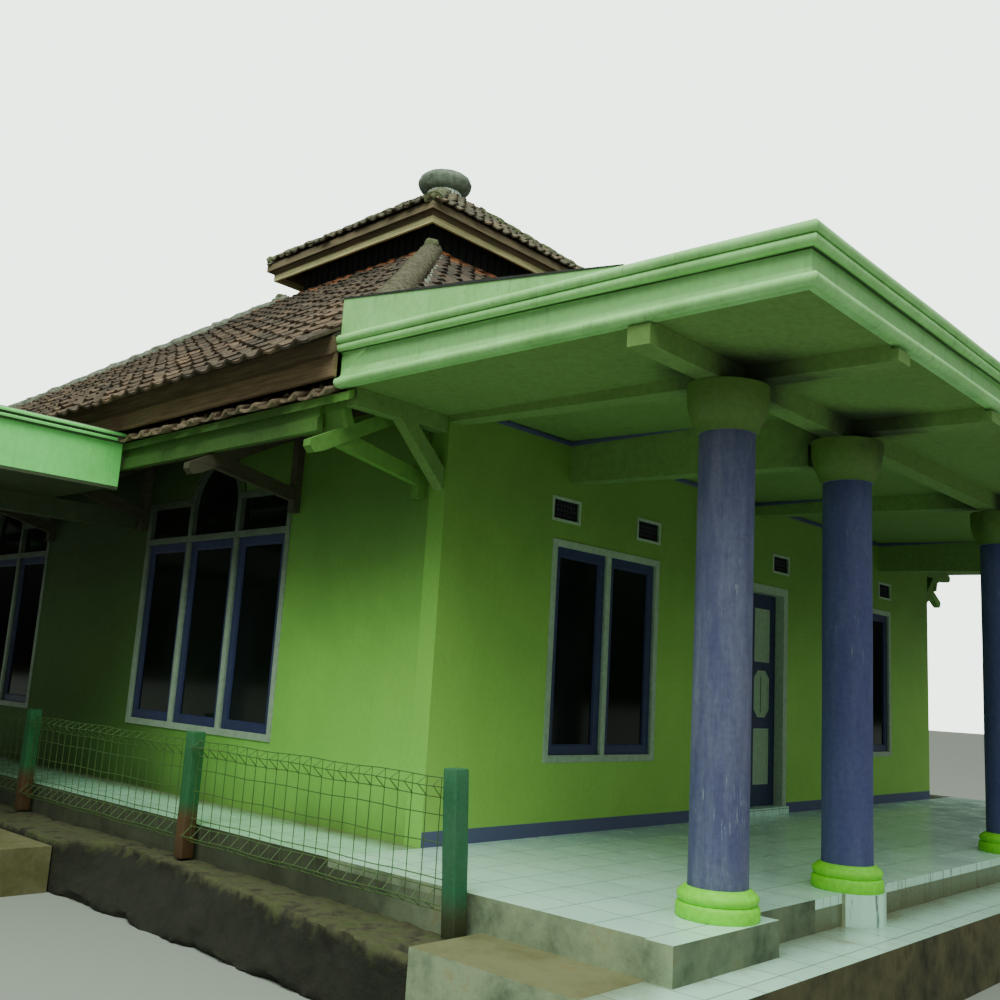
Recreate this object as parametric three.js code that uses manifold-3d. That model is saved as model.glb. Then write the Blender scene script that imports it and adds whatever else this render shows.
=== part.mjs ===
// Small village mosque: a tiled two-tier prayer hall with a flat-roofed porch on five round
// columns, a side canopy, tiled skirt roofs and a low mesh fence on a retaining wall.
// Millimetres, +Z up. X runs along the porch front, Y from the front wall to the rear wall.
// The origin is the near left corner of the hall at ground level, under the front wall face.
import * as THREE from 'three';
import { mergeGeometries, mergeVertices } from 'three/addons/utils/BufferGeometryUtils.js';
import Module from 'manifold-3d';

const wasm = await Module();
wasm.setup();

// Driving dimensions
const TOUCH = 0.3;              // gap kept between pieces that rest on sloped or cut faces
const FLOOR = 550;              // porch floor above the lowest ground
const HALL_W = 8000;            // hall width along X
const HALL_D = 8650;            // hall depth along Y
const WALL_T = 150;             // plastered brick wall
const INSIDE_STEP = 65;         // hall floor above the porch floor
const MID_X = HALL_W / 2;

const TERRACE = 697;            // terrace beyond each side wall
const PORCH_D = 2150;           // platform in front of the hall
const TILE_BED = 50;            // floor tiles on their bed
const LEDGE_DROP = 165;         // lower step under the porch floor
const LEDGE_OUT = 400;          // lower step beyond the porch front
const PIER_R = 205;             // round piers under the middle columns
const CORNER_PIER = [-720, 160, -2290];
const SIDE_OUT = 1160;          // outer face of side step and retaining wall, from the side wall
const SIDE_STEP_END = -1200;    // where the raw side step gives way to the retaining wall
const RETAIN_DROP = 200;        // retaining wall top under the porch floor
const WING_DROP = 250;          // canopy floor under the porch floor

const DOOR_HALF = 544;          // half width of the door opening in the wall
const DOOR_TOP = 2048;          // head of the door opening
const LINTEL = 2100;            // split between lower and upper front wall
const JAMB = 74;                // door frame face width
const STOP_DEPTH = 88;          // door stop in front of the leaf
const REBATE = 12;              // jamb set back behind the stop
const LEAF_T = 35;              // door leaf
const PANEL_SET_BACK = 9;
const PANEL_ZS = [[255, 750], [850, 1272], [1350, 1840]];
const OCTAGON_CUT = 70;         // corners cut off the middle panel
const LEAF_GAP = 5;             // running gap around a leaf
const MEET_GAP = 8;             // gap between the two leaves
const STILE = 92;               // stiles beside the leaf panels

const WIN_X = [1088, 2407];     // casement window, left one, from the near corner
const WIN_Z = [492, 2051];
const TRIPLE_Y = [[1651, 3788], [5800, 7937]];
const TRIPLE_Z = [497, 2390];
const TRANSOM = [2030, 2075];
const ARCH_SPRING = 2300;       // pointed fanlight over the middle light
const ARCH_RISE = 420;
const FRAME_FACE = 45;          // white window surround and mullions
const FRAME_PROUD = 10;
const SASH_FACE = 64;
const VENT = [295, 150];        // ventilation block over windows and door
const VENT_Z = 2198;

const FALL = 0.035;             // porch roof falls towards its front edge
const SOFFIT = 2790;            // porch soffit at the front wall
const SLAB_T = 120;
const SLAB_SIDE = 800;          // porch roof beyond the side walls
const SLAB_FRONT = 2900;        // porch roof in front of the front wall
const SLAB_BACK = 120;          // bearing on the front wall
const COLUMN_Y = -2090;
const COLUMN_X = [-58, 1305, 4000, 6695, 8058];
const SHAFT_R = 140;
const BASE_R = 195;
const BASE_H = 135;
const SHAFT_TOP = 2294;
const CAPITAL_TOP = 2545;
const BEAM_W = 130;
const LAP = 130;                // cross beams pass through the top of the front beam
const CROSS_X = [65, 1305, 4000, 6695, 7935];
const CROSS_DROP = [130, 305, 120, 305, 130];
const RIM_Z = 2700;             // lower soffit outside the beams, at the front wall
const RIM_FALL = 0.0205;

const ROOF_PITCH = 0.738;       // main roof rise over run
const ROOF_T = 120;             // tiles, battens and rafters, measured upright
const EAVE_OUT = 900;
const EAVE_Z = 3010;            // tile surface at the eave
const ROOF_MID_Y = 4650;        // centre of both roof tiers
const RING_BEAM = 120;          // ring beam behind the front wall, under the roof
const SCREEN_HALF = 1200;       // slatted screen under the upper tier
const UPPER_HALF = 1550;        // upper eave from the centre
const UPPER_EAVE_Z = 6120;
const UPPER_PITCH = 0.76;
const UPPER_T = 100;
const UPPER_FASCIA_LOW = 5900;
const NECK_R = 230;
const NECK_TOP = 7255;
const CAP_R = 350;

const SKIRT_OUT = 780;          // skirt roof fascia from the side wall
const SKIRT_PITCH = 0.5;
const SKIRT_WALL_Z = 3075;      // skirt tile surface at the wall
const SKIRT_NOSE = 40;          // tiles beyond the eave board
const SKIRT_T = 55;
const SKIRT_RAFTER = 55;        // rafters under the tiles, inside the eave board
const SKIRT_LOW = 2470;         // underside of the skirt's eave board
const BRACKET_YS = [225, 1590, 3850, 5740, 8000];
const ARM_LONG = 940;           // bracket arms run on under the eave board
const ARM_SHORT = 800;          // beside the canopy

const WING_FRONT = 2790;        // front face of the side canopy
const WING_LEFT = -4200;
const WING_RIGHT = -825;
const WING_SOFFIT = 2330;

const FENCE_X = -780;
const POST_FIRST = -1100;
const BAY = 2460;
const BAYS = 3;
const POST_TOP = 585;

const colours = {
  plaster: 0x7fc241, plasterDark: 0x5f9a35, mint: 0x9fd6a0, violet: 0x6f74a8, tile: 0xdfe8e4,
  concrete: 0x8c8f80, moss: 0x5c5a3c, clay: 0x7a5546, mortar: 0x9a9a8a, white: 0xe6e9e0,
  indigo: 0x4a4f86, slat: 0x24221f, post: 0x1f8f6c,
};

// The finished assembly; z values in the code are counted from the porch floor
const mosque = new THREE.Group();
mosque.name = 'mosque';
mosque.position.z = FLOOR;

function bare(geometry) {
  const g = geometry.index ? geometry.toNonIndexed() : geometry.clone();
  for (const name of Object.keys(g.attributes)) {
    if (name !== 'position') g.deleteAttribute(name);
  }
  return g;
}

function join(list) {
  return mergeGeometries(list.map(bare));
}

function add(name, geometry, colour, roughness = 0.8, metalness = 0) {
  const g = mergeVertices(bare(geometry), 1e-3);
  g.computeVertexNormals();
  const material = new THREE.MeshStandardMaterial({ color: colour, roughness, metalness });
  material.name = name;
  const mesh = new THREE.Mesh(g, material);
  mesh.name = name;
  mosque.add(mesh);
  return mesh;
}

// Box from two opposite corners
function block(x0, x1, y0, y1, z0, z1) {
  const g = new THREE.BoxGeometry(x1 - x0, y1 - y0, z1 - z0);
  return g.translate((x0 + x1) / 2, (y0 + y1) / 2, (z0 + z1) / 2);
}

// Solid through a row of outlines with the same number of points
function loft(sections) {
  const first = sections[0];
  const last = sections.at(-1);
  const n = first.length;
  const normal = new THREE.Vector3();
  for (let i = 0; i < n; i++) {
    const a = first[i];
    const b = first[(i + 1) % n];
    normal.x += (a[1] - b[1]) * (a[2] + b[2]);
    normal.y += (a[2] - b[2]) * (a[0] + b[0]);
    normal.z += (a[0] - b[0]) * (a[1] + b[1]);
  }
  const [nx, ny, nz] = normal.toArray().map(Math.abs);
  const sideways = nx > ny ? [1, 2] : [0, 2];
  const axes = nz >= Math.max(nx, ny) ? [0, 1] : sideways;
  const outline = first.map((p) => new THREE.Vector2(p[axes[0]], p[axes[1]]));
  const clockwise = THREE.ShapeUtils.isClockWise(outline);
  const triangles = [];
  for (const [a, b, c] of THREE.ShapeUtils.triangulateShape(outline, [])) {
    const [p, q] = clockwise ? [c, b] : [b, c];
    triangles.push([first[a], first[q], first[p]], [last[a], last[p], last[q]]);
  }
  for (let k = 1; k < sections.length; k++) {
    const [from, to] = [sections[k - 1], sections[k]];
    for (let i = 0; i < n; i++) {
      const j = (i + 1) % n;
      triangles.push([from[i], from[j], to[j]], [from[i], to[j], to[i]]);
    }
  }
  return outward(triangles);
}

function prism(from, to) {
  return loft([from, to]);
}

// Buffer geometry from triangles, turned so that its faces point out
function outward(triangles) {
  let volume = 0;
  for (const [a, b, c] of triangles) {
    volume += a[0] * (b[1] * c[2] - b[2] * c[1])
      - a[1] * (b[0] * c[2] - b[2] * c[0])
      + a[2] * (b[0] * c[1] - b[1] * c[0]);
  }
  const points = triangles.flatMap(([a, b, c]) => (volume < 0 ? [...a, ...c, ...b] : [...a, ...b, ...c]));
  const g = new THREE.BufferGeometry();
  g.setAttribute('position', new THREE.Float32BufferAttribute(points, 3));
  return g;
}

// Outline in the Y-Z plane, carried along X
function alongX(outline, x0, x1) {
  return prism(outline.map(([y, z]) => [x0, y, z]), outline.map(([y, z]) => [x1, y, z]));
}

// Outline in the X-Z plane, carried along Y
function alongY(outline, y0, y1) {
  return prism(outline.map(([x, z]) => [x, y0, z]), outline.map(([x, z]) => [x, y1, z]));
}

function rectangle(u0, u1, v0, v1) {
  return [[u0, v0], [u1, v0], [u1, v1], [u0, v1]];
}

function extruded(outline, depth) {
  const shape = new THREE.Shape(outline.map(([u, v]) => new THREE.Vector2(u, v)));
  return new THREE.ExtrudeGeometry(shape, { depth, bevelEnabled: false });
}

// Sheet with holes, from its outlines in the plane
function pierced(outline, holes, depth) {
  const sheet = extruded(outline, depth);
  if (!holes.length) return sheet;
  const cutters = holes.map((hole) => toSolid(extruded(hole, depth + 2).translate(0, 0, -1)));
  return fromSolid(cutters.reduce((solid, cutter) => solid.subtract(cutter), toSolid(sheet)));
}

// Panel with holes facing the front, between two Y planes
function frontPanel(outline, holes, y0, y1) {
  return pierced(outline, holes, y1 - y0).rotateX(Math.PI / 2).translate(0, y1, 0);
}

// Panel with holes facing sideways, between two X planes; outlines are in Y and Z
function sidePanel(outline, holes, x0, x1) {
  const turn = new THREE.Matrix4().set(0, 0, 1, 0, 1, 0, 0, 0, 0, 1, 0, 0, 0, 0, 0, 1);
  return pierced(outline, holes, x1 - x0).applyMatrix4(turn).translate(x0, 0, 0);
}

// Porch roof pieces fall towards the front
function fall(geometry) {
  const p = geometry.attributes.position;
  for (let i = 0; i < p.count; i++) p.setZ(i, p.getZ(i) + FALL * p.getY(i));
  return geometry;
}

function mirrorX(geometry) {
  const g = bare(geometry);
  const p = g.attributes.position;
  for (let i = 0; i < p.count; i += 3) {
    const [a, b, c] = [i, i + 1, i + 2].map((k) => [HALL_W - p.getX(k), p.getY(k), p.getZ(k)]);
    [a, c, b].forEach((v, k) => p.setXYZ(i + k, ...v));
  }
  return g;
}

function toSolid(geometry) {
  const g = mergeVertices(bare(geometry), 1e-3);
  return new wasm.Manifold(new wasm.Mesh({
    numProp: 3,
    vertProperties: new Float32Array(g.attributes.position.array),
    triVerts: new Uint32Array(g.index.array),
  }));
}

function fromSolid(solid) {
  const mesh = solid.getMesh();
  const g = new THREE.BufferGeometry();
  const points = [];
  for (let i = 0; i < mesh.numVert; i++) {
    points.push(...mesh.vertProperties.slice(i * mesh.numProp, i * mesh.numProp + 3));
  }
  g.setAttribute('position', new THREE.Float32BufferAttribute(points, 3));
  g.setIndex(Array.from(mesh.triVerts));
  return bare(g);
}

function fuse(list) {
  return fromSolid(list.map(toSolid).reduce((a, b) => a.add(b)));
}

function turned(profile, x, y, sides = 16) {
  const points = [new THREE.Vector2(0, profile[0][1]), ...profile.map(([r, z]) => new THREE.Vector2(r, z)),
    new THREE.Vector2(0, profile.at(-1)[1])];
  return new THREE.LatheGeometry(points, sides).rotateX(Math.PI / 2).translate(x, y, 0);
}

// Square ring about the roof centre, from a closed profile of half sizes and heights
function squareRing(profile) {
  const points = [...profile, profile[0]].map(([half, z]) => new THREE.Vector2(half * Math.SQRT2, z));
  return bare(new THREE.LatheGeometry(points, 4, Math.PI / 4).rotateX(Math.PI / 2)
    .translate(MID_X, ROOF_MID_Y, 0));
}

// Ground works: one mass of masonry with the side terraces and side steps, floors laid on it
const farSide = HALL_W + TERRACE;
function foundation() {
  const terrace = block(-TERRACE, 0, 0, HALL_D, -TILE_BED - 5, 0);
  const sideStep = block(-SIDE_OUT, -TERRACE + 5, -PORCH_D, SIDE_STEP_END, -FLOOR, -LEDGE_DROP);
  return fuse([block(-TERRACE, farSide, -PORCH_D, HALL_D, -FLOOR, -TILE_BED),
    terrace, mirrorX(terrace), sideStep, mirrorX(sideStep)]);
}
add('foundation_plinth', foundation(), colours.concrete, 0.95);

function porchFloor() {
  const piers = COLUMN_X.slice(1, -1).map((x) => turned([[PIER_R, -LEDGE_DROP], [PIER_R, 0]], x, COLUMN_Y));
  const corner = block(CORNER_PIER[0], CORNER_PIER[1], CORNER_PIER[2], -PORCH_D + 5, -LEDGE_DROP, 0);
  const slab = block(-TERRACE, farSide, -PORCH_D, 0, -TILE_BED, 0);
  const body = [slab, ...piers, corner, mirrorX(corner)].map(toSolid).reduce((a, b) => a.add(b));
  const ground = block(-2 * TERRACE, farSide + TERRACE, -PORCH_D - TOUCH, 0, -FLOOR, -TILE_BED);
  return fromSolid(body.subtract(toSolid(ground)));
}
add('porch_floor', porchFloor(), colours.tile, 0.25);
add('hall_floor', block(WALL_T, HALL_W - WALL_T, WALL_T, HALL_D - WALL_T, -TILE_BED, INSIDE_STEP),
  colours.tile, 0.3);
add('porch_step', block(-SIDE_OUT, HALL_W + SIDE_OUT, -PORCH_D - LEDGE_OUT, -PORCH_D, -FLOOR, -LEDGE_DROP),
  colours.concrete, 0.9);
add('retaining_wall', block(-SIDE_OUT, -TERRACE, SIDE_STEP_END, HALL_D, -FLOOR, -RETAIN_DROP),
  colours.moss, 1);
add('canopy_floor', block(WING_LEFT, -SIDE_OUT, WING_FRONT - 400, HALL_D, -FLOOR, -WING_DROP),
  colours.moss, 1);

// Roof surfaces
const roofHalfX = MID_X + EAVE_OUT;
const roofFrontY = ROOF_MID_Y - roofHalfX;
const roofBackY = ROOF_MID_Y + roofHalfX;
const roofLeftX = MID_X - roofHalfX;
const surface = (distance) => EAVE_Z + ROOF_PITCH * distance;
const under = (distance) => surface(distance) - ROOF_T;
function roofUnder(x, y) {
  return under(Math.min(x - roofLeftX, HALL_W - roofLeftX - x, y - roofFrontY, roofBackY - y));
}
// Wall heads are cut to the slope of the roof that rests on them
function fitUnderRoof(geometry, above) {
  const g = bare(geometry);
  const p = g.attributes.position;
  for (let i = 0; i < p.count; i++) {
    if (p.getZ(i) > above) p.setZ(i, roofUnder(p.getX(i), p.getY(i)) - TOUCH);
  }
  return g;
}

// Front wall: two sides of the doorway and the upper part with its vents and ring beam
const casement = rectangle(WIN_X[0], WIN_X[1], WIN_Z[0], WIN_Z[1]);
const doorX = [MID_X - DOOR_HALF, MID_X + DOOR_HALF];
const lowerWall = frontPanel(rectangle(0, doorX[0], -TILE_BED, LINTEL), [casement], 0, WALL_T);
add('front_wall_left', lowerWall, colours.plaster);
add('front_wall_right', mirrorX(lowerWall), colours.plaster);

const ventLeft = [WIN_X[0] - 13, WIN_X[1] - VENT[0] - 5, doorX[0] - 25];
const ventXs = [...ventLeft, ...ventLeft.map((x) => HALL_W - x - VENT[0])];
function upperFrontWall() {
  const bearing = SLAB_BACK + TOUCH;
  const seat = (y) => SOFFIT - TOUCH + FALL * y;
  const head = (y) => under(y - roofFrontY) - TOUCH;
  const face = alongX([[0, LINTEL], [WALL_T, LINTEL], [WALL_T, head(WALL_T)], [bearing, head(bearing)],
    [bearing, seat(bearing)], [0, seat(0)]], 0, HALL_W);
  const back = WALL_T + RING_BEAM;
  const beam = alongX([[WALL_T - 5, SOFFIT - 170], [back, SOFFIT - 170], [back, head(back)],
    [WALL_T - 5, head(WALL_T - 5)]], WALL_T, HALL_W - WALL_T);
  const overDoor = block(doorX[0], doorX[1], 0, WALL_T, DOOR_TOP, LINTEL + 5);
  const body = [face, beam, overDoor].map(toSolid).reduce((a, b) => a.add(b));
  const holes = ventXs.map((x) => toSolid(block(x, x + VENT[0], -5, WALL_T + 5, VENT_Z, VENT_Z + VENT[1])));
  return fromSolid(holes.reduce((solid, hole) => solid.subtract(hole), body));
}
add('front_wall_upper', upperFrontWall(), colours.plaster);

// Pointed arch from its right foot over the top to its left foot, above a given height
function archPoints([y0, y1], shrink, low, steps = 6) {
  const mid = (y0 + y1) / 2;
  const half = (y1 - y0) / 2 - shrink;
  const rise = ARCH_RISE - shrink;
  const centre = (half * half - rise * rise) / (2 * half);
  const radius = half - centre;
  const a0 = Math.asin((low - ARCH_SPRING) / radius);
  const a1 = Math.atan2(rise, -centre);
  const arc = [];
  for (let i = 0; i <= steps; i++) {
    const a = a0 + ((a1 - a0) * i) / steps;
    arc.push([mid + centre + radius * Math.cos(a), ARCH_SPRING + radius * Math.sin(a)]);
  }
  arc[steps][0] = mid;
  return [...arc, ...arc.slice(0, -1).reverse().map(([y, z]) => [2 * mid - y, z])];
}
function middleLight([y0, y1]) {
  const third = (y1 - y0) / 3;
  return [y0 + third - FRAME_FACE / 2, y1 - third + FRAME_FACE / 2];
}
function tripleOutline(span, shrink) {
  const [bottom, top] = [TRIPLE_Z[0] + shrink, TRIPLE_Z[1] - shrink];
  return [[span[0] + shrink, bottom], [span[1] - shrink, bottom], [span[1] - shrink, top],
    ...archPoints(middleLight(span), shrink, top), [span[0] + shrink, top]];
}

// Side and rear walls
const WALL_HEAD = 3400;
function sideWall() {
  const frontEnd = WALL_T;
  const rearEnd = HALL_D - WALL_T;
  const bends = [roofFrontY + EAVE_OUT + WALL_T, roofFrontY + EAVE_OUT];
  const outline = [[frontEnd, -TILE_BED], [rearEnd, -TILE_BED], [rearEnd, WALL_HEAD],
    ...bends.map((y) => [y, WALL_HEAD]), [frontEnd, WALL_HEAD]];
  return fitUnderRoof(sidePanel(outline, TRIPLE_Y.map((span) => tripleOutline(span, 0)), 0, WALL_T),
    WALL_HEAD - 100);
}
add('left_wall', sideWall(), colours.plaster);
add('right_wall', mirrorX(sideWall()), colours.plaster);
function rearWall() {
  const outline = [[0, -TILE_BED], [HALL_W, -TILE_BED], [HALL_W, WALL_HEAD], [HALL_W - WALL_T, WALL_HEAD],
    [WALL_T, WALL_HEAD], [0, WALL_HEAD]];
  return fitUnderRoof(frontPanel(outline, [], HALL_D - WALL_T, HALL_D), WALL_HEAD - 100);
}
add('rear_wall', rearWall(), colours.plaster);

// Window units: white surround, sashes behind its face and a pane, each unit one solid
const FRAME_BACK = 50;
const SASH_FRONT = 15;
const PANE = [36, 42];
function inset([[u0, v0], , [u1, v1]], by) {
  return rectangle(u0 + by, u1 - by, v0 + by, v1 - by);
}
function unit(panel, outline, lights, fanlights, pane) {
  const sashes = lights.map((light) => inset(light, SASH_FACE));
  return fuse([panel(outline, [...lights, ...fanlights], -FRAME_PROUD, SASH_FRONT),
    panel(outline, [...sashes, ...fanlights], SASH_FRONT, FRAME_BACK), panel(pane, [], ...PANE)]);
}
function casementUnit() {
  const mid = (WIN_X[0] + WIN_X[1]) / 2;
  const [bottom, top] = [WIN_Z[0] + FRAME_FACE, WIN_Z[1] - FRAME_FACE];
  const lights = [rectangle(WIN_X[0] + FRAME_FACE, mid - FRAME_FACE / 2, bottom, top),
    rectangle(mid + FRAME_FACE / 2, WIN_X[1] - FRAME_FACE, bottom, top)];
  return unit(frontPanel, inset(casement, TOUCH), lights, [], inset(casement, 20));
}
function tripleUnit(span) {
  const [a, b] = middleLight(span);
  const edges = [span[0] + FRAME_FACE, a, a + FRAME_FACE, b - FRAME_FACE, b, span[1] - FRAME_FACE];
  const [sill, low, high] = [TRIPLE_Z[0] + FRAME_FACE, TRANSOM[1], TRIPLE_Z[1] - FRAME_FACE];
  const lights = [0, 2, 4].map((i) => rectangle(edges[i], edges[i + 1], sill, TRANSOM[0]));
  const fanlights = [rectangle(edges[0], edges[1], low, high),
    [[edges[2], low], [edges[3], low], ...archPoints([a, b], FRAME_FACE, ARCH_SPRING)],
    rectangle(edges[4], edges[5], low, high)];
  return unit(sidePanel, tripleOutline(span, TOUCH), lights, fanlights, tripleOutline(span, 20));
}
const frontWindow = casementUnit();
add('window_front_left', frontWindow, colours.indigo);
add('window_front_right', mirrorX(frontWindow), colours.indigo);
['near', 'far'].forEach((place, i) => {
  const sideWindow = tripleUnit(TRIPLE_Y[i]);
  add(`window_left_${place}`, sideWindow, colours.indigo);
  add(`window_right_${place}`, mirrorX(sideWindow), colours.indigo);
});

// Doorway: threshold, frame and two leaves on barrel hinges
const stopX = [doorX[0] + JAMB, doorX[1] - JAMB];
const rebateX = [stopX[0] - REBATE, stopX[1] + REBATE];
const headZ = DOOR_TOP - JAMB;
const leafY = [STOP_DEPTH - LEAF_GAP, STOP_DEPTH - LEAF_GAP + LEAF_T];
const STOP_BACK = leafY[0] - LEAF_GAP;
const HINGE_R = 5;
const hingeX = rebateX[0] + HINGE_R + 1;
const hingeY = leafY[1] + HINGE_R + 0.5;
const HINGE_ZS = [320, 1020, 1720];
const KNUCKLE = 45;
const STRAP_T = 3;              // hinge leaves
const STRAP_IN = 4;             // let into the frame
const STRAP_REACH = 30;         // along the back of the door leaf
add('door_threshold', fuse([block(doorX[0], doorX[1], 0, WALL_T, -TILE_BED, INSIDE_STEP),
  block(doorX[0], doorX[1], -40, 5, 0, INSIDE_STEP)]), colours.tile, 0.3);
function knuckle(z0, z1) {
  const g = new THREE.CylinderGeometry(HINGE_R, HINGE_R, z1 - z0, 12).rotateX(Math.PI / 2);
  return g.translate(hingeX, hingeY, (z0 + z1) / 2);
}
// Portal of one face width round an opening, standing on the threshold
function portal([x0, x1], top, y0, y1) {
  const [left, far, head] = [doorX[0] + TOUCH, doorX[1] - TOUCH, DOOR_TOP - TOUCH];
  return frontPanel([[left, INSIDE_STEP], [x0, INSIDE_STEP], [x0, top], [x1, top], [x1, INSIDE_STEP],
    [far, INSIDE_STEP], [far, head], [left, head]], [], y0, y1);
}
function doorFrame() {
  const hinges = HINGE_ZS.map((z) => knuckle(z, z + KNUCKLE));
  const straps = HINGE_ZS.map((z) => block(rebateX[0] - STRAP_IN, hingeX, hingeY - STRAP_T / 2,
    hingeY + STRAP_T / 2, z, z + KNUCKLE));
  const stop = portal(stopX, headZ, -FRAME_PROUD, STOP_BACK);
  const jambs = portal(rebateX, headZ + REBATE, STOP_BACK, WALL_T);
  return fuse([stop, jambs, ...hinges, ...straps, ...hinges.map(mirrorX), ...straps.map(mirrorX)]);
}
add('door_frame', doorFrame(), colours.white);

const leafX = [rebateX[0] + LEAF_GAP, MID_X - MEET_GAP / 2];
const leafZ = [INSIDE_STEP + LEAF_GAP, headZ + REBATE - LEAF_GAP];
function octagon(x0, x1, z0, z1, cut) {
  return [[x0 + cut, z0], [x1 - cut, z0], [x1, z0 + cut], [x1, z1 - cut], [x1 - cut, z1], [x0 + cut, z1],
    [x0, z1 - cut], [x0, z0 + cut]];
}
function doorLeaf() {
  const [x0, x1] = [leafX[0] + STILE, leafX[1] - STILE];
  const [low, middle, high] = PANEL_ZS;
  const panels = [rectangle(x0, x1, ...low), octagon(x0, x1, ...middle, OCTAGON_CUT),
    rectangle(x0, x1, ...high)];
  const stiles = frontPanel(rectangle(...leafX, ...leafZ), panels, ...leafY);
  const board = block(x0 - 5, x1 + 5, leafY[0] + PANEL_SET_BACK, leafY[1] - PANEL_SET_BACK,
    low[0] - 5, high[1] + 5);
  const knuckles = HINGE_ZS.map((z) => knuckle(z + KNUCKLE + TOUCH, z + 2 * KNUCKLE));
  const straps = HINGE_ZS.map((z) => block(hingeX, hingeX + STRAP_REACH, leafY[1] - 2,
    hingeY + STRAP_T / 2, z + KNUCKLE + TOUCH, z + 2 * KNUCKLE));
  return fuse([stiles, board, ...knuckles, ...straps]);
}
add('door_leaf_left', doorLeaf(), colours.indigo);
add('door_leaf_right', mirrorX(doorLeaf()), colours.indigo);

// Columns: moulded base, shaft and bell capital in one profile
const columnProfile = [[BASE_R, 0], [BASE_R, 62], [BASE_R - 12, 70], [BASE_R - 3, 92], [BASE_R - 12, 118],
  [SHAFT_R + 16, BASE_H], [SHAFT_R, BASE_H], [SHAFT_R, SHAFT_TOP], [SHAFT_R + 14, SHAFT_TOP + 4],
  [SHAFT_R + 18, SHAFT_TOP + 26], [SHAFT_R + 34, SHAFT_TOP + 55], [SHAFT_R + 57, SHAFT_TOP + 120],
  [SHAFT_R + 66, SHAFT_TOP + 175], [SHAFT_R + 66, CAPITAL_TOP]];
function column(x) {
  const g = bare(turned(columnProfile, x, COLUMN_Y));
  const p = g.attributes.position;
  for (let i = 0; i < p.count; i++) {
    if (p.getZ(i) > CAPITAL_TOP - 1) p.setZ(i, CAPITAL_TOP - TOUCH + FALL * (p.getY(i) - COLUMN_Y));
  }
  return g;
}
COLUMN_X.forEach((x, i) => add(`column_${i + 1}`, column(x), colours.violet));

// Porch roof: front beam, cross beams lapped through it, and the slab on them
const beamBottom = CAPITAL_TOP - FALL * COLUMN_Y;
const beamTop = SOFFIT - TOUCH;
const beamY = [COLUMN_Y - BEAM_W / 2, COLUMN_Y + BEAM_W / 2];
// Beam ends run on under the edge moulding; outside the beams the soffit is a lower rim
const UNDER_ROLL = 38;
const ROLL_DEPTH = 70;
const rimLow = (y) => RIM_Z + (RIM_FALL - FALL) * y;
function frontBeam() {
  const end = SLAB_SIDE + UNDER_ROLL;
  const body = toSolid(block(0, HALL_W, beamY[0], beamY[1], beamBottom, beamTop));
  const outer = toSolid(fuse([
    block(-SLAB_SIDE, 5, beamY[0] + 1, beamY[1] - 1, beamBottom + 1, rimLow(beamY[1]) - TOUCH),
    block(-end, 5 - SLAB_SIDE, beamY[0] + 2, beamY[1] - 2, beamBottom + 2, SOFFIT - ROLL_DEPTH)]));
  const beam = body.add(outer).add(toSolid(mirrorX(fromSolid(outer))));
  const laps = CROSS_X.map((x) => toSolid(block(x - BEAM_W / 2 - TOUCH, x + BEAM_W / 2 + TOUCH,
    beamY[0] - 5, beamY[1] + 5, SOFFIT - LAP - TOUCH, SOFFIT + 5)));
  return fall(fromSolid(laps.reduce((solid, lap) => solid.subtract(lap), beam)));
}
add('porch_front_beam', frontBeam(), colours.plasterDark);
function crossBeam(x, drop) {
  const [x0, x1] = [x - BEAM_W / 2, x + BEAM_W / 2];
  const low = SOFFIT - LAP;
  const clearOfCapital = COLUMN_Y + SHAFT_R + 80;
  const rimEdge = (y) => [y, rimLow(y) - TOUCH];
  const bar = alongX([[-SLAB_FRONT, low], [beamY[1] + 5, low], [beamY[1] + 5, beamTop],
    [beamY[0], beamTop], rimEdge(beamY[0]), rimEdge(-SLAB_FRONT)], x0, x1);
  const pieces = [bar,
    block(x0 + 1, x1 - 1, -SLAB_FRONT - UNDER_ROLL, 5 - SLAB_FRONT, low + 1, SOFFIT - ROLL_DEPTH),
    block(x0, x1, clearOfCapital, -TOUCH, SOFFIT - drop, beamTop),
    block(x0, x1, beamY[1] + TOUCH, clearOfCapital + 5, Math.max(SOFFIT - drop, beamBottom), beamTop)];
  return fall(fuse(pieces));
}
CROSS_X.forEach((x, i) => {
  add(`porch_cross_beam_${i + 1}`, crossBeam(x, CROSS_DROP[i]), colours.plasterDark);
});
function porchSlab() {
  const [side, front, inner] = [-SLAB_SIDE + 1, -SLAB_FRONT + 1, beamY[0] - TOUCH];
  const plan = [[side, front], [HALL_W - side, front], [HALL_W - side, SLAB_BACK - 1],
    [HALL_W + TOUCH, SLAB_BACK - 1], [HALL_W + TOUCH, inner], [-TOUCH, inner], [-TOUCH, SLAB_BACK - 1],
    [side, SLAB_BACK - 1]];
  const rim = prism(plan.map(([x, y]) => [x, y, rimLow(y)]), plan.map(([x, y]) => [x, y, SOFFIT + 5]));
  const sheet = block(-SLAB_SIDE, HALL_W + SLAB_SIDE, -SLAB_FRONT, SLAB_BACK, SOFFIT, SOFFIT + SLAB_T);
  return fall(fuse([sheet, rim]));
}
add('porch_slab', porchSlab(), colours.plasterDark);

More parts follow.
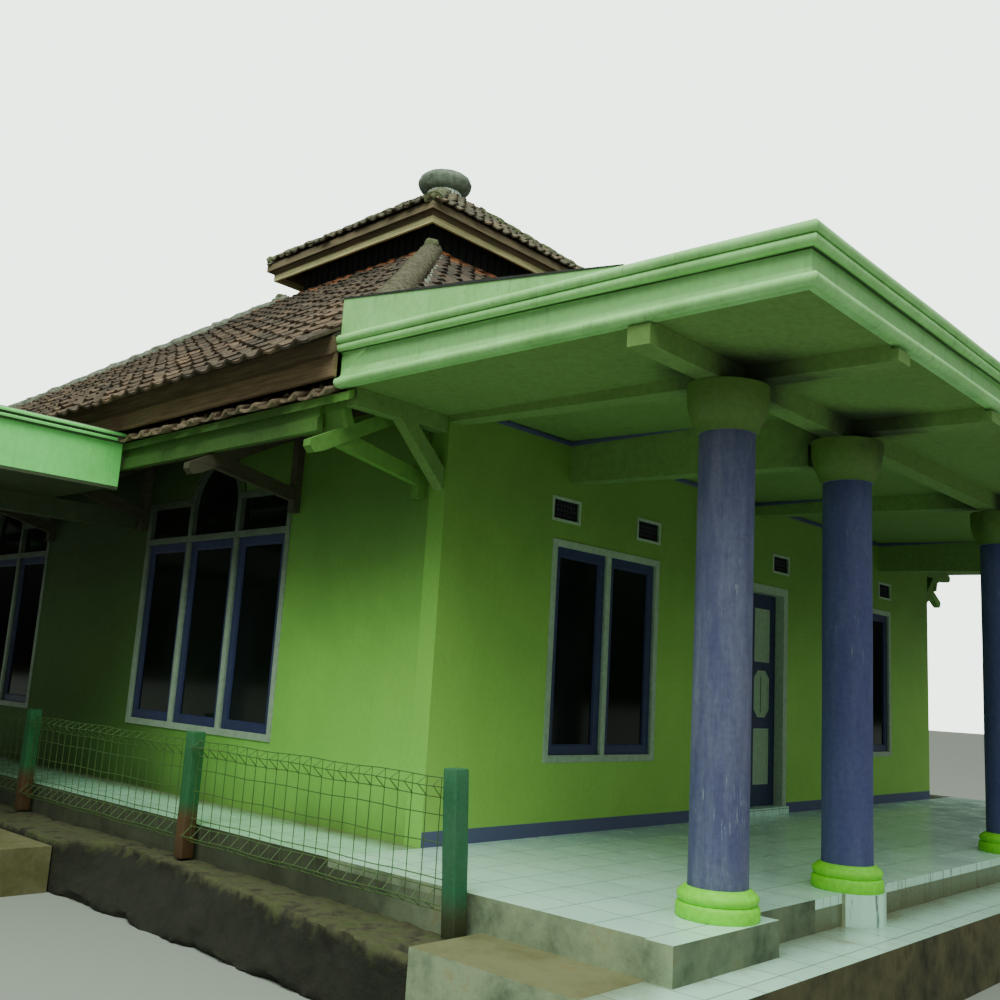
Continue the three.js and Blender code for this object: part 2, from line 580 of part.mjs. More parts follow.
// Moulded edge: outward distance and height above the soffit, double roll over a band and a roll
function roll(centre, radius, out, from, to, steps = 5) {
  const points = [];
  for (let i = 0; i <= steps; i++) {
    const a = THREE.MathUtils.degToRad(from + ((to - from) * i) / steps);
    points.push([out + radius * Math.cos(a), centre + radius * Math.sin(a)]);
  }
  return points;
}
const EDGE_TOP = 228;
const EDGE_IN = 70;
const corniceProfile = [[TOUCH, -52], ...roll(-22, 30, 38, -90, 90), [18, 12], [18, 118],
  ...roll(148, 28, 34, -90, 60), ...roll(196, 32, 42, -50, 90), [-EDGE_IN, EDGE_TOP],
  [-EDGE_IN, SLAB_T + TOUCH], [TOUCH, SLAB_T + TOUCH]];
const ROLL_SAG = 48;            // the lower roll of each side hangs lower at the hall
function cornice() {
  const left = (y, sag) => corniceProfile.map(([out, z]) => [-SLAB_SIDE - out, y(out),
    SOFFIT + z - (z < 15 ? sag : 0)]);
  const path = [left(() => SLAB_BACK, ROLL_SAG), left((out) => -SLAB_FRONT - out, 0)];
  const opposite = path.map((section) => section.map(([x, y, z]) => [HALL_W - x, y, z])).reverse();
  return fall(loft([...path, ...opposite]));
}
add('porch_cornice', cornice(), colours.mint);

// Sloping fill on the slab and tapering kerbs over the side mouldings
const KERB_X = [-SLAB_SIDE - 40, -SLAB_SIDE + 60];
const KERB_TIP = -1990;
const KERB_TOP = [2955, 3253];
const FILL_TOP = [2845, 3125];
const edgeTop = (y) => SOFFIT + EDGE_TOP + FALL * y + TOUCH;
const slabTop = (y) => SOFFIT + SLAB_T + FALL * y + TOUCH;
const kerb = alongX([[KERB_TIP, edgeTop(KERB_TIP)], [SLAB_BACK, edgeTop(SLAB_BACK)],
  [SLAB_BACK, KERB_TOP[1]], [KERB_TIP, KERB_TOP[0]]], KERB_X[0], KERB_X[1]);
add('porch_kerb_left', kerb, colours.mint);
add('porch_kerb_right', mirrorX(kerb), colours.mint);
const fillFront = -SLAB_FRONT + EDGE_IN + TOUCH;
const fillSide = -SLAB_SIDE + EDGE_IN + TOUCH;
const fillBack = SLAB_BACK - TOUCH;
const fill = alongX([[fillFront, slabTop(fillFront)], [fillBack, slabTop(fillBack)],
  [fillBack, FILL_TOP[1]], [fillFront, FILL_TOP[0]]], fillSide, HALL_W - fillSide);
add('porch_roof_screed', fill, colours.concrete, 0.95);

// Concrete cantilevers and struts at the front corners of the hall
const ARM_D = 110;
const ARM_END = -760;
function cornerBracket() {
  const top = rimLow(115) - TOUCH;
  const low = RIM_Z - ARM_D;
  const arm = block(ARM_END, -TOUCH, 15, 115, low, top);
  const strut = alongY([[-TOUCH, 2210], [-TOUCH, 2350], [-265, low + 10], [-400, low + 10]], 20, 110);
  return fall(fuse([arm, strut]));
}
add('corner_bracket_left', cornerBracket(), colours.plasterDark);
add('corner_bracket_right', mirrorX(cornerBracket()), colours.plasterDark);

// Main roof: four slopes mitred at the hips, with hip caps and eave boards
const SHIFT = 0.25;             // each slope stands this far out so that the mitres keep a gap
const cutY = SLAB_BACK + 1;
const cutDistance = cutY - roofFrontY;
const crown = SCREEN_HALF + TOUCH - SHIFT;
function slope(outline) {
  return prism(outline.map(([x, y, z]) => [x, y, z - ROOF_T]), outline);
}
// Cap over a hip towards the roof centre; its underside enters one of the two slopes by 3 mm
function hipCap(sx, sy, reach, pitch, eaveHalf, eaveZ, half, rise) {
  const lateral = [sy * Math.SQRT1_2, -sx * Math.SQRT1_2];
  const own = -sx * sy;
  const drop = (q) => -pitch * Math.abs(q) * Math.SQRT1_2;
  const crest = [-1, -0.62, 0, 0.62, 1].map((k) => [k * half * own, rise * Math.sqrt(1 - 0.86 * k * k)]);
  const outline = [[half * own, drop(half) - 3], [2 * own, drop(2) - 3], [2 * own, 1], [0, 1],
    [-half * own, drop(half) + 1], ...crest.map(([q, z]) => [q, 0.55 * drop(q) + z])];
  return prism(...reach.map((d) => outline.map(([q, z]) => [MID_X + sx * d + lateral[0] * q,
    ROOF_MID_Y + sy * d + lateral[1] * q, eaveZ + pitch * (eaveHalf - d) + z])));
}
function mainHip(sx, sy) {
  const low = roofHalfX - (sy < 0 ? cutDistance + 110 : 30);
  return hipCap(sx, sy, [low, SCREEN_HALF + 130], ROOF_PITCH, roofHalfX, EAVE_Z, 105, 85);
}
const FASCIA_LOW = 2760;
const FASCIA_IN = 25;
const FASCIA_T = 30;
const boardIn = FASCIA_IN + FASCIA_T;
// Board under the eave, mitred at the corners, and a narrower strip that enters the slope
function eaveBoard(place, start, end) {
  const strip = (d0, d1, rise) => [[d0, FASCIA_LOW], [d1, FASCIA_LOW], [d1, under(d1) + rise],
    [d0, under(d0) + rise]];
  const board = strip(FASCIA_IN, boardIn, -TOUCH);
  const key = strip(FASCIA_IN + 5, boardIn - 5, 20);
  return [prism(board.map((p) => place(...p, start(p[0]))), board.map((p) => place(...p, end(p[0])))),
    prism(key.map((p) => place(...p, start(p[0]) + 60)), key.map((p) => place(...p, end(p[0]) - 60)))];
}
function leftMainRoof() {
  const outline = [[roofLeftX, cutY, EAVE_Z], [roofLeftX + cutDistance, cutY, surface(cutDistance)],
    [MID_X - crown, ROOF_MID_Y - crown, surface(roofHalfX - crown)],
    [MID_X - crown, ROOF_MID_Y + crown, surface(roofHalfX - crown)], [roofLeftX, roofBackY, EAVE_Z]];
  return fuse([slope(outline.map(([x, y, z]) => [x - SHIFT, y, z])),
    ...eaveBoard((d, z, y) => [roofLeftX + d, y, z], () => SLAB_BACK + 5, (d) => roofBackY - d - TOUCH)]);
}
add('main_roof_left', leftMainRoof(), colours.clay, 0.95);
add('main_roof_right', mirrorX(leftMainRoof()), colours.clay, 0.95);
function frontMainRoof() {
  const outline = [[roofLeftX + cutDistance, cutY, surface(cutDistance)],
    [HALL_W - roofLeftX - cutDistance, cutY, surface(cutDistance)],
    [MID_X + crown, ROOF_MID_Y - crown, surface(roofHalfX - crown)],
    [MID_X - crown, ROOF_MID_Y - crown, surface(roofHalfX - crown)]];
  return fuse([slope(outline.map(([x, y, z]) => [x, y - SHIFT, z])), mainHip(-1, -1), mainHip(1, -1)]);
}
add('main_roof_front', frontMainRoof(), colours.clay, 0.95);
function rearMainRoof() {
  const outline = [[roofLeftX, roofBackY, EAVE_Z], [HALL_W - roofLeftX, roofBackY, EAVE_Z],
    [MID_X + crown, ROOF_MID_Y + crown, surface(roofHalfX - crown)],
    [MID_X - crown, ROOF_MID_Y + crown, surface(roofHalfX - crown)]];
  return fuse([slope(outline.map(([x, y, z]) => [x, y + SHIFT, z])), mainHip(-1, 1), mainHip(1, 1),
    ...eaveBoard((d, z, x) => [x, roofBackY - d, z], (d) => roofLeftX + d + TOUCH,
      (d) => HALL_W - roofLeftX - d - TOUCH)]);
}
add('main_roof_rear', rearMainRoof(), colours.clay, 0.95);

// Slatted screen between the roof tiers, upper tier with its boards and caps, and the finial
const SCREEN_T = 40;
const screenLow = surface(roofHalfX - SCREEN_HALF) - ROOF_T - 60;
const upperSurface = (half) => UPPER_EAVE_Z + UPPER_PITCH * (UPPER_HALF - half);
const upperUnder = (half) => upperSurface(half) - UPPER_T;
const screenHead = (half) => upperUnder(half) - TOUCH;
const screenIn = SCREEN_HALF - SCREEN_T;
const screen = squareRing([[SCREEN_HALF, screenLow], [SCREEN_HALF, screenHead(SCREEN_HALF)],
  [screenIn, screenHead(screenIn)], [screenIn, screenLow]]);
add('clerestory_screen', screen, colours.slat, 0.9);
function upperRoof() {
  const top = NECK_R - 40;
  const board = [UPPER_HALF - 100, UPPER_HALF - 70];
  const shell = squareRing([[UPPER_HALF, upperUnder(UPPER_HALF)], [UPPER_HALF, UPPER_EAVE_Z],
    [top, upperSurface(top)], [top, upperUnder(top)], [board[0], upperUnder(board[0])],
    [board[0], UPPER_FASCIA_LOW], [board[1], UPPER_FASCIA_LOW], [board[1], upperUnder(board[1])]]);
  const caps = [[-1, -1], [1, -1], [-1, 1], [1, 1]].map(([sx, sy]) => hipCap(sx, sy,
    [UPPER_HALF - 20, NECK_R + 130], UPPER_PITCH, UPPER_HALF, UPPER_EAVE_Z, 95, 48));
  return fuse([shell, ...caps]);
}
add('upper_roof', upperRoof(), colours.clay, 0.95);
// The neck is cut to the top of the pyramid that it stands on
function finial() {
  const profile = [[NECK_R, upperSurface(NECK_R) - 10], [NECK_R, NECK_TOP], [NECK_R + 60, NECK_TOP + 25],
    [CAP_R - 10, NECK_TOP + 90], [CAP_R, NECK_TOP + 130], [CAP_R - 25, NECK_TOP + 185],
    [CAP_R - 110, NECK_TOP + 225]];
  const square = (half) => [[-half, -half], [half, -half], [half, half], [-half, half]]
    .map(([x, y]) => [MID_X + x, ROOF_MID_Y + y, upperSurface(half) + TOUCH]);
  const pyramid = loft([square(600), square(20)]);
  return fromSolid(toSolid(turned(profile, MID_X, ROOF_MID_Y, 20)).subtract(toSolid(pyramid)));
}
add('finial', finial(), colours.mortar, 1);

// Skirt roofs over the side windows: tiles on rafters, purlins, eave board and triangular brackets
const skirtEnd = HALL_D - 200;
const skirtTop = (d) => SKIRT_WALL_Z - SKIRT_PITCH * d;
const skirtUnder = (d) => skirtTop(d) - SKIRT_T;
const rafterUnder = (d) => skirtUnder(d) - SKIRT_RAFTER;
const armTop = (d) => 2854 - 0.517 * d;
const armLow = (d) => 2756 - 0.527 * d;
const BRACKET_W = 70;
const BRACKET_FOOT = 2165;
const POST_D = 60;
const STRUT_WALL = [2245, 2340];
function skirtBracket(y, out) {
  const [y0, y1] = [y - BRACKET_W / 2, y + BRACKET_W / 2];
  const tip = Math.min(760, out - 110);
  const post = block(-POST_D, -TOUCH, y0, y1, BRACKET_FOOT, armTop(0) - 4);
  const arm = alongY([[-TOUCH, armTop(0)], [-TOUCH, armLow(0)], [-out + 100, armLow(out - 100)],
    [-out + 35, armLow(out - 35) + 12], [-out, armTop(out) - 40], [-out, armTop(out)]], y0, y1);
  const strut = alongY([[-30, STRUT_WALL[0]], [-30, STRUT_WALL[1]], [-tip + 140, armLow(tip - 140) + 30],
    [-tip, armLow(tip) + 20]], y0 + 8, y1 - 8);
  return [post, arm, strut];
}
// A purlin rests on the arms, and its top enters the rafters; the outer one is set square to them
const PURLIN = 50;
const PURLINS = [[705, 45], [150, 0]];
function skirtPurlin([out, lean], start) {
  const inner = out - PURLIN;
  return alongY([[-out, armTop(out) - 12], [-inner, armTop(inner) - 12],
    [-inner - lean, rafterUnder(inner + lean) + 10], [-out - lean, rafterUnder(out + lean) + 10]],
  start, skirtEnd - 20);
}
// Two-step eave board, its lower half proud of the upper one
const BOARD_T = 28;
const BOARD_STEP = 12;
const BOARD_MID = 2558;
const BOARD_FIRST = 345;
const NOSE_FIRST = 22;          // outermost tiles pass the end of the corner bracket
function skirtRoof(arms) {
  const reach = SKIRT_OUT + SKIRT_NOSE;
  const start = SLAB_BACK + 15;
  const inner = SKIRT_OUT - BOARD_T;
  const tiles = alongY([[-TOUCH, skirtTop(0)], [-TOUCH, rafterUnder(0)], [-inner, rafterUnder(inner)],
    [-inner, skirtUnder(inner)], [-reach, skirtUnder(reach)], [-reach, skirtTop(reach)]], start, skirtEnd);
  const nose = -ARM_END + 10;
  const tip = alongY([[-nose, skirtTop(nose) - 1], [-nose, skirtUnder(nose) + 1],
    [-reach + 1, skirtUnder(reach - 1) + 1], [-reach + 1, skirtTop(reach - 1) - 1]], NOSE_FIRST, start + 5);
  const board = alongY([[-SKIRT_OUT, skirtUnder(SKIRT_OUT) + 10], [-SKIRT_OUT, BOARD_MID],
    [-SKIRT_OUT - BOARD_STEP, BOARD_MID - 4], [-SKIRT_OUT - BOARD_STEP, SKIRT_LOW],
    [-inner + 1, SKIRT_LOW], [-inner + 1, skirtUnder(inner) + 5]], BOARD_FIRST, skirtEnd);
  const purlins = PURLINS.map((purlin) => skirtPurlin(purlin, start + 15));
  const brackets = BRACKET_YS.flatMap((y, i) => skirtBracket(y, arms[i]));
  return fuse([tiles, tip, board, ...purlins, ...brackets]);
}
const leftArms = BRACKET_YS.map((y) => (y < WING_FRONT ? ARM_LONG : ARM_SHORT));
add('skirt_roof_left', skirtRoof(leftArms), colours.clay, 0.95);
add('skirt_roof_right', mirrorX(skirtRoof(BRACKET_YS.map(() => ARM_LONG))), colours.clay, 0.95);

// Side canopy: slab with a moulded parapet and two beams to the hall, on round posts
const canopyBeamYs = [4020, 8250];
const CANOPY_BEAM_LOW = 2180;
function canopyRoof() {
  const sheet = block(WING_LEFT + 50, WING_RIGHT, WING_FRONT + 50, HALL_D, WING_SOFFIT, WING_SOFFIT + 120);
  const face = [[0, -30], [0, 330], ...roll(352, 22, 18, -90, 60), ...roll(390, 26, 24, -50, 90), [-60, 416],
    [-60, -30]];
  const edge = loft([face.map(([out, z]) => [WING_RIGHT, WING_FRONT - out, WING_SOFFIT + z]),
    face.map(([out, z]) => [WING_LEFT - out, WING_FRONT - out, WING_SOFFIT + z]),
    face.map(([out, z]) => [WING_LEFT - out, HALL_D, WING_SOFFIT + z])]);
  const beams = canopyBeamYs.map((y) => block(WING_LEFT + 50, -TOUCH, y - 75, y + 75, CANOPY_BEAM_LOW,
    WING_SOFFIT + 5));
  return fuse([sheet, edge, ...beams]);
}
add('canopy_roof', canopyRoof(), colours.mint);
canopyBeamYs.forEach((y, i) => add(`canopy_column_${i + 1}`,
  turned([[110, -WING_DROP], [110, CANOPY_BEAM_LOW]], -3900, y), colours.violet));

// Fence along the retaining wall, each bay a post with its mesh
const MESH_LOW = -90;
const MESH_TOP = 530;
const MESH_ROLL = 95;
const WIRE = 6;
const WIRE_PITCH = 215;
function fencePost(y) {
  return block(FENCE_X - 45, FENCE_X + 45, y - 45, y + 45, -RETAIN_DROP, POST_TOP);
}
function fenceBay(i) {
  const foot = POST_FIRST + i * BAY;
  const last = i === BAYS - 1;
  const end = foot + BAY - 46;
  const upright = (y) => block(FENCE_X - WIRE / 2, FENCE_X + WIRE / 2, y, y + WIRE,
    MESH_LOW + 1, MESH_TOP - 1);
  const wires = last ? [] : [upright(end - WIRE)];
  for (let y = foot + 45 + WIRE_PITCH; y < end - WIRE_PITCH / 2; y += WIRE_PITCH) wires.push(upright(y));
  for (const z of [MESH_LOW, MESH_LOW + MESH_ROLL, 215, MESH_TOP - MESH_ROLL, MESH_TOP - WIRE]) {
    wires.push(block(FENCE_X - 2, FENCE_X + 2, foot + 40, last ? foot + BAY - 40 : end - 1, z, z + WIRE));
  }
  const posts = last ? [fencePost(foot), fencePost(foot + BAY)] : [fencePost(foot)];
  return fuse([...posts, ...wires]);
}
for (let i = 0; i < BAYS; i++) add(`fence_bay_${i + 1}`, fenceBay(i), colours.post, 0.7);

export default mosque;
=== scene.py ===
"""Looks of a small village mosque: lime-green hall with a porch, two clay-tiled roofs and side skirts.

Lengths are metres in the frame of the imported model: X along the porch front, Y from the front wall to
the rear wall, Z up, with the hall's near left corner at X = 0, Y = 0.
"""

import logging
import math
from collections.abc import Callable
from dataclasses import dataclass
from enum import Enum
from functools import partial

import bpy
import numpy as np
from mathutils import Matrix, Vector, noise


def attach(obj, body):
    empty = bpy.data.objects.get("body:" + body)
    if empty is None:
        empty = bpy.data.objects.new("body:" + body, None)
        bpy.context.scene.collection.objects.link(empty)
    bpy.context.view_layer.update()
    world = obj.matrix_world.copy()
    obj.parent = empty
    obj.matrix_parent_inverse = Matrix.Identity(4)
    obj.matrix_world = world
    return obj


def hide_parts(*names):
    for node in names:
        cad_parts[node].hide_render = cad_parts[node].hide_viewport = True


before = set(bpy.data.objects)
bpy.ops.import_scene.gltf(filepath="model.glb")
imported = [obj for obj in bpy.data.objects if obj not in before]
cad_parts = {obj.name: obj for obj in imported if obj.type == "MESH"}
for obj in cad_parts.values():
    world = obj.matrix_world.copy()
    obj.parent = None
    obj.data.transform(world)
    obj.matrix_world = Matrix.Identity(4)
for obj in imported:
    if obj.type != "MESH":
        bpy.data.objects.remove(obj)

log = logging.getLogger("mosque")
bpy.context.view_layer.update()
BUILDING = "building"
FLOOR = 0.55
HALL_W = 8.0
MID_X = 4.0
NOISE_SEED = 11
Point = tuple[float, float]
Spot = tuple[float, float, float]
Loop = list[Point]
Piece = bpy.types.Object
Material = bpy.types.Material
Tree = bpy.types.NodeTree
Socket = bpy.types.NodeSocket
Sockets = bpy.types.NodeOutputs
Add = Callable[..., Socket]
UP = Vector((0.0, 0.0, 1.0))
DEEP = Vector((0.0, 1.0, 0.0))
EDGE_FALL = Vector((0.0, -0.035, 1.0))
COLUMN_Y = -2.09
ROOF_MIDDLE = (MID_X, 4.65)


class Slot(Enum):
    """The record's material slots."""

    MASONRY = "mossy_masonry"
    WINDOW = "window_unit"
    WHITE = "white_joinery"
    INDIGO = "indigo_joinery"
    COLUMN = "column_paint"
    MOULDING = "edge_moulding_paint"
    ROOF_TILE = "clay_roof_tile"
    SLATS = "dark_slats"
    FINIAL = "finial_concrete"
    FENCE = "fence_paint"


def linear(code: int) -> tuple[float, float, float, float]:
    """Turns an sRGB hex colour into the linear colour that a shader takes.

    Args:
        code: Colour as 0xRRGGBB.

    Returns:
        Linear red, green, blue and an alpha of one.
    """
    parts = [((code >> shift) & 255) / 255 for shift in (16, 8, 0)]
    red, green, blue = (c / 12.92 if c <= 0.04045 else ((c + 0.055) / 1.055) ** 2.4 for c in parts)
    return red, green, blue, 1.0


def per_mm(size: float) -> float:
    """Gives the scale of a noise or Voronoi pattern whose features are this many millimetres wide."""
    return 1000.0 / size


# Which property of a node its mode sets
MODES = {"Math": "operation", "VectorMath": "operation", "Mix": "data_type",
         "MapRange": "interpolation_type"}


def add_node(tree: Tree, kind: str, *values: object, **named: object) -> Socket:
    """Adds a node, sets it and fills its inputs; a colour is a socket or an sRGB hex value.

    Args:
        tree: Node tree of the material.
        kind: Blender's name for the node's type without its prefix, then a dot and the node's mode if any.
        values: Values or sockets for the first inputs, in order.
        named: Values or sockets by input name, with spaces as underscores. A name in small letters sets a
            property, and stops fills a colour ramp with pairs of place and sRGB hex value.

    Returns:
        The node's first output that is in use.
    """
    kind, _, mode = kind.partition(".")
    node = tree.nodes.new("ShaderNode" + kind)
    if mode:
        setattr(node, MODES[kind], mode)
    filled = list(zip(node.inputs, values))
    for name, value in named.items():
        if name == "stops":
            ramp = node.color_ramp
            while len(ramp.elements) < len(value):
                ramp.elements.new(1.0)
            for element, (place, tone) in zip(ramp.elements, value):
                element.position, element.color = place, linear(tone)
        elif name.islower():
            setattr(node, name, value)
        else:
            wanted = name.replace("_", " ")
            filled.append((next(i for i in node.inputs if i.enabled and i.name == wanted), value))
    for socket, value in filled:
        if isinstance(value, Socket):
            tree.links.new(value, socket)
        elif isinstance(value, int) and socket.type == "RGBA":
            socket.default_value = linear(value)
        else:
            socket.default_value = value
    return next(o for o in node.outputs if o.enabled)


def band_mask(add: Add, value: Socket, low: float, high: float, soft: float = 0.0008) -> Socket:
    """Masks where a value lies between two limits.

    Args:
        add: Adds a node to the material.
        value: The value to test.
        low: Lower limit.
        high: Upper limit.
        soft: Width over which the mask fades.

    Returns:
        One inside the limits and zero outside them.
    """
    rise = add("MapRange", Value=value, From_Min=low - soft, From_Max=low + soft)
    fall = add("MapRange", Value=value, From_Min=high - soft, From_Max=high + soft, To_Min=1.0, To_Max=0.0)
    return add("Math.MULTIPLY", rise, fall)


@dataclass(frozen=True)
class Band:
    """A painted band between two limits, measured along a direction of the object."""

    colour: int
    along: Vector
    low: float
    high: float
    soft: float = 0.0008


@dataclass(frozen=True)
class Coating:
    """Base of the finishes: a mottled colour with stains, streaks, bands and a bumped surface.

    mottle, grain and wave are pattern sizes in mm; the shares and speckle say how much shows. shade is
    painted
    shade by height: it gives the height where a surface starts to dim, the height where it is dimmest, and
    how dim it gets there; damp does the same along Y as painted shade. shade_spots are painted shade
    too: the paint darkens round each spot, out to shade_reach and towards shade_black. foot gives the
    heights between which splashed mud fades. ends gives the colour of faces turned to the sides, which no
    band crosses.
    """

    name: str
    base: int
    patch: int
    stain: int
    roughness: float = 0.8
    mottle: float = 700.0
    mottle_share: float = 0.7
    grain: float = 9.0
    speckle: float = 0.14
    bump: float = 0.25
    wave: float = 160.0
    streak: float = 0.35
    streak_run: Vector = Vector((6.0, 6.0, 0.7))
    chips: float = 0.0
    foot: Point | None = None
    bands: tuple[Band, ...] = ()
    shade_spots: tuple[Spot, ...] = ()
    shade_reach: float = 0.45
    shade_black: int = 0x14170c
    scratch: float = 0.0
    chalk: int = 0xa2a9ae
    shade: Spot | None = None
    damp: Spot | None = None
    ends: int | None = None

    def colour(self, add: Add, place: Socket) -> Socket:
        """Builds the colour.

        Args:
            add: Adds a node to the material.
            place: Object coordinates.

        Returns:
            The colour socket.
        """
        axes = add("SeparateXYZ", Vector=place).node.outputs
        cloud = add("TexNoise", Vector=place, Scale=per_mm(self.mottle), Detail=6.0, Roughness=0.62)
        tones = add("MapRange", Value=cloud, From_Min=0.38, From_Max=0.68, To_Max=self.mottle_share)
        colour = add("Mix.RGBA", Factor=tones, A=self.base, B=self.patch)
        if self.scratch:
            colour = self.wear(add, place, colour)
        for band in self.bands:
            span = add("VectorMath.DOT_PRODUCT", place, band.along)
            mask = band_mask(add, span.node.outputs["Value"], band.low, band.high, band.soft)
            colour = add("Mix.RGBA", Factor=mask, A=colour, B=band.colour)
        if self.ends:
            facing = add("NewGeometry").node.outputs["Normal"]
            turn = add("SeparateXYZ", Vector=facing).node.outputs
            aside = add("Math.ABSOLUTE", turn[0])
            end = add("Math.GREATER_THAN", aside, 0.7)
            colour = add("Mix.RGBA", Factor=end, A=colour, B=self.ends)
        fine = add("TexNoise", Vector=place, Scale=per_mm(self.grain * 4), Detail=5.0)
        shade = add("MapRange", Value=fine, From_Min=0.3, From_Max=0.7, To_Min=1.0 - self.speckle,
                    To_Max=1.0 + self.speckle * 0.7)
        colour = add("VectorMath.SCALE", Vector=colour, Scale=shade)
        run = add("VectorMath.MULTIPLY", place, self.streak_run)
        drips = add("TexNoise", Vector=run, Scale=2.2, Detail=7.0, Roughness=0.7)
        wet = add("MapRange", Value=drips, From_Min=0.56, From_Max=0.78, To_Max=self.streak)
        colour = add("Mix.RGBA", Factor=wet, A=colour, B=self.stain)
        if self.chips:
            flakes = add("TexNoise", Vector=run, Scale=5.0, Detail=9.0, Roughness=0.8)
            bare = add("MapRange", Value=flakes, From_Min=0.62, From_Max=0.66, To_Max=self.chips)
            colour = add("Mix.RGBA", Factor=bare, A=colour, B=self.patch)
        if self.foot:
            low = add("MapRange", Value=axes[2], From_Min=self.foot[0], From_Max=self.foot[1], To_Min=1.0,
                      To_Max=0.0)
            splash = add("Math.MULTIPLY", low, cloud)
            colour = add("Mix.RGBA", Factor=splash, A=colour, B=self.stain)
        # Painted shade: the paint darkens round each spot in shade_spots
        for spot in self.shade_spots:
            away = add("VectorMath.DISTANCE", place, spot).node.outputs["Value"]
            ragged = add("Math.MULTIPLY_ADD", cloud, 0.75, away)
            dark = add("MapRange.SMOOTHSTEP", Value=ragged, From_Min=self.shade_reach * 0.62,
                       From_Max=self.shade_reach, To_Min=0.86, To_Max=0.0)
            colour = add("Mix.RGBA", Factor=dark, A=colour, B=self.shade_black)
        # Painted shade: the paint dims by height, and along Y where damp is given
        for axis, grime_and_shade in ((2, self.shade), (1, self.damp)):
            if grime_and_shade:
                start, end, least = grime_and_shade
                uneven = add("Math.MULTIPLY_ADD", cloud, 0.3, axes[axis])
                dim = add("MapRange.SMOOTHSTEP", Value=uneven, From_Min=start + 0.15, From_Max=end + 0.15,
                          To_Min=1.0, To_Max=least)
                colour = add("VectorMath.SCALE", Vector=colour, Scale=dim)
        return colour

    def wear(self, add: Add, place: Socket, colour: Socket) -> Socket:
        """Lays long upright wash marks and short pale scratches over a painted shaft.

        Args:
            add: Adds a node to the material.
            place: Object coordinates.
            colour: The paint.

        Returns:
            The worn colour.
        """
        long = add("VectorMath.MULTIPLY", place, (11.0, 11.0, 1.6))
        washed = add("TexNoise", Vector=long, Scale=1.0, Detail=9.0, Roughness=0.75)
        pale = add("MapRange", Value=washed, From_Min=0.42, From_Max=0.72, To_Max=self.scratch)
        colour = add("Mix.RGBA", Factor=pale, A=colour, B=self.stain)
        short = add("VectorMath.MULTIPLY", place, (120.0, 120.0, 9.0))
        nicks = add("TexNoise", Vector=short, Scale=1.0, Detail=7.0, Roughness=0.75)
        where = add("TexNoise", Vector=place, Scale=per_mm(260.0), Detail=2.0)
        bare = add("Math.MULTIPLY_ADD", where, 0.5, nicks)
        scuffs = add("MapRange", Value=bare, From_Min=0.90, From_Max=0.98, To_Max=self.scratch * 1.5)
        return add("Mix.RGBA", Factor=scuffs, A=colour, B=self.chalk)

    def relief(self, add: Add, place: Socket) -> Socket:
        """Builds the bumped normal from trowel waves and grain.

        Args:
            add: Adds a node to the material.
            place: Object coordinates.

        Returns:
            The normal socket.
        """
        waves = add("TexNoise", Vector=place, Scale=per_mm(self.wave), Detail=3.0)
        swell = add("Bump", Strength=self.bump, Distance=0.012, Height=waves)
        grit = add("TexNoise", Vector=place, Scale=per_mm(self.grain), Detail=4.0)
        return add("Bump", Strength=self.bump, Distance=0.003, Height=grit, Normal=swell)

    def build(self) -> Material:
        """Makes the material.

        Returns:
            The finished material.
        """
        material = bpy.data.materials.new(self.name)
        material.use_nodes = True
        tree = material.node_tree
        add = partial(add_node, tree)
        shader = tree.nodes["Principled BSDF"]
        place = add("TexCoord").node.outputs["Object"]
        tree.links.new(self.colour(add, place), shader.inputs["Base Color"])
        tree.links.new(self.relief(add, place), shader.inputs["Normal"])
        worn = add("TexNoise", Vector=place, Scale=per_mm(90.0), Detail=4.0)
        spread = add("MapRange", Value=worn, To_Min=self.roughness - 0.12,
                     To_Max=min(1.0, self.roughness + 0.12))
        tree.links.new(spread, shader.inputs["Roughness"])
        return material


@dataclass(frozen=True)
class CanopyPaint(Coating):
    """Gloss paint on the canopy's edge, a bare underside with its beams darkened as painted shade, and
    screed on top.

    bare_shade_top is the height under which everything is bare and darkened as painted shade, beam_top the
    same for what stands inside the edge, which starts at the place called inside.
    """

    # Colour of the bare underside, dark as painted shade
    bare: int = 0x454f38
    bare_shade_top: float = FLOOR + 2.325
    beam_top: float = FLOOR + 2.37
    inside: Point = (-4.08, 2.95)
    screed: int = 0x6b705e

    def colour(self, add: Add, place: Socket) -> Socket:
        """Lays the bare underside, darkened as painted shade, and the screed over the paint.

        Args:
            add: Adds a node to the material.
            place: Object coordinates.

        Returns:
            The colour socket.
        """
        colour = super().colour(add, place)
        axes = add("SeparateXYZ", Vector=place).node.outputs
        facing = add("NewGeometry").node.outputs["Normal"]
        turn = add("SeparateXYZ", Vector=facing).node.outputs
        # Painted shade: faces turned down, and what lies below the edge, take the dark bare colour
        down = add("Math.LESS_THAN", turn[2], -0.5)
        past_x = add("Math.GREATER_THAN", axes[0], self.inside[0])
        past_y = add("Math.GREATER_THAN", axes[1], self.inside[1])
        within = add("Math.MULTIPLY", past_x, past_y)
        limit = add("MapRange", Value=within, To_Min=self.bare_shade_top, To_Max=self.beam_top)
        below = add("Math.LESS_THAN", axes[2], limit)
        hidden = add("Math.MAXIMUM", down, below)
        fine = add("TexNoise", Vector=place, Scale=per_mm(self.grain * 4), Detail=5.0)
        shade = add("MapRange", Value=fine, From_Min=0.3, From_Max=0.7, To_Min=0.86, To_Max=1.1)
        rough = add("VectorMath.SCALE", Vector=linear(self.bare)[:3], Scale=shade)
        colour = add("Mix.RGBA", Factor=hidden, A=colour, B=rough)
        top = add("Math.GREATER_THAN", turn[2], 0.5)
        cloud = add("TexNoise", Vector=place, Scale=per_mm(self.mottle), Detail=6.0, Roughness=0.62)
        tones = add("MapRange", Value=cloud, From_Min=0.35, From_Max=0.65, To_Min=0.55, To_Max=1.15)
        screed = add("VectorMath.SCALE", Vector=linear(self.screed)[:3], Scale=tones)
        return add("Mix.RGBA", Factor=top, A=colour, B=screed)


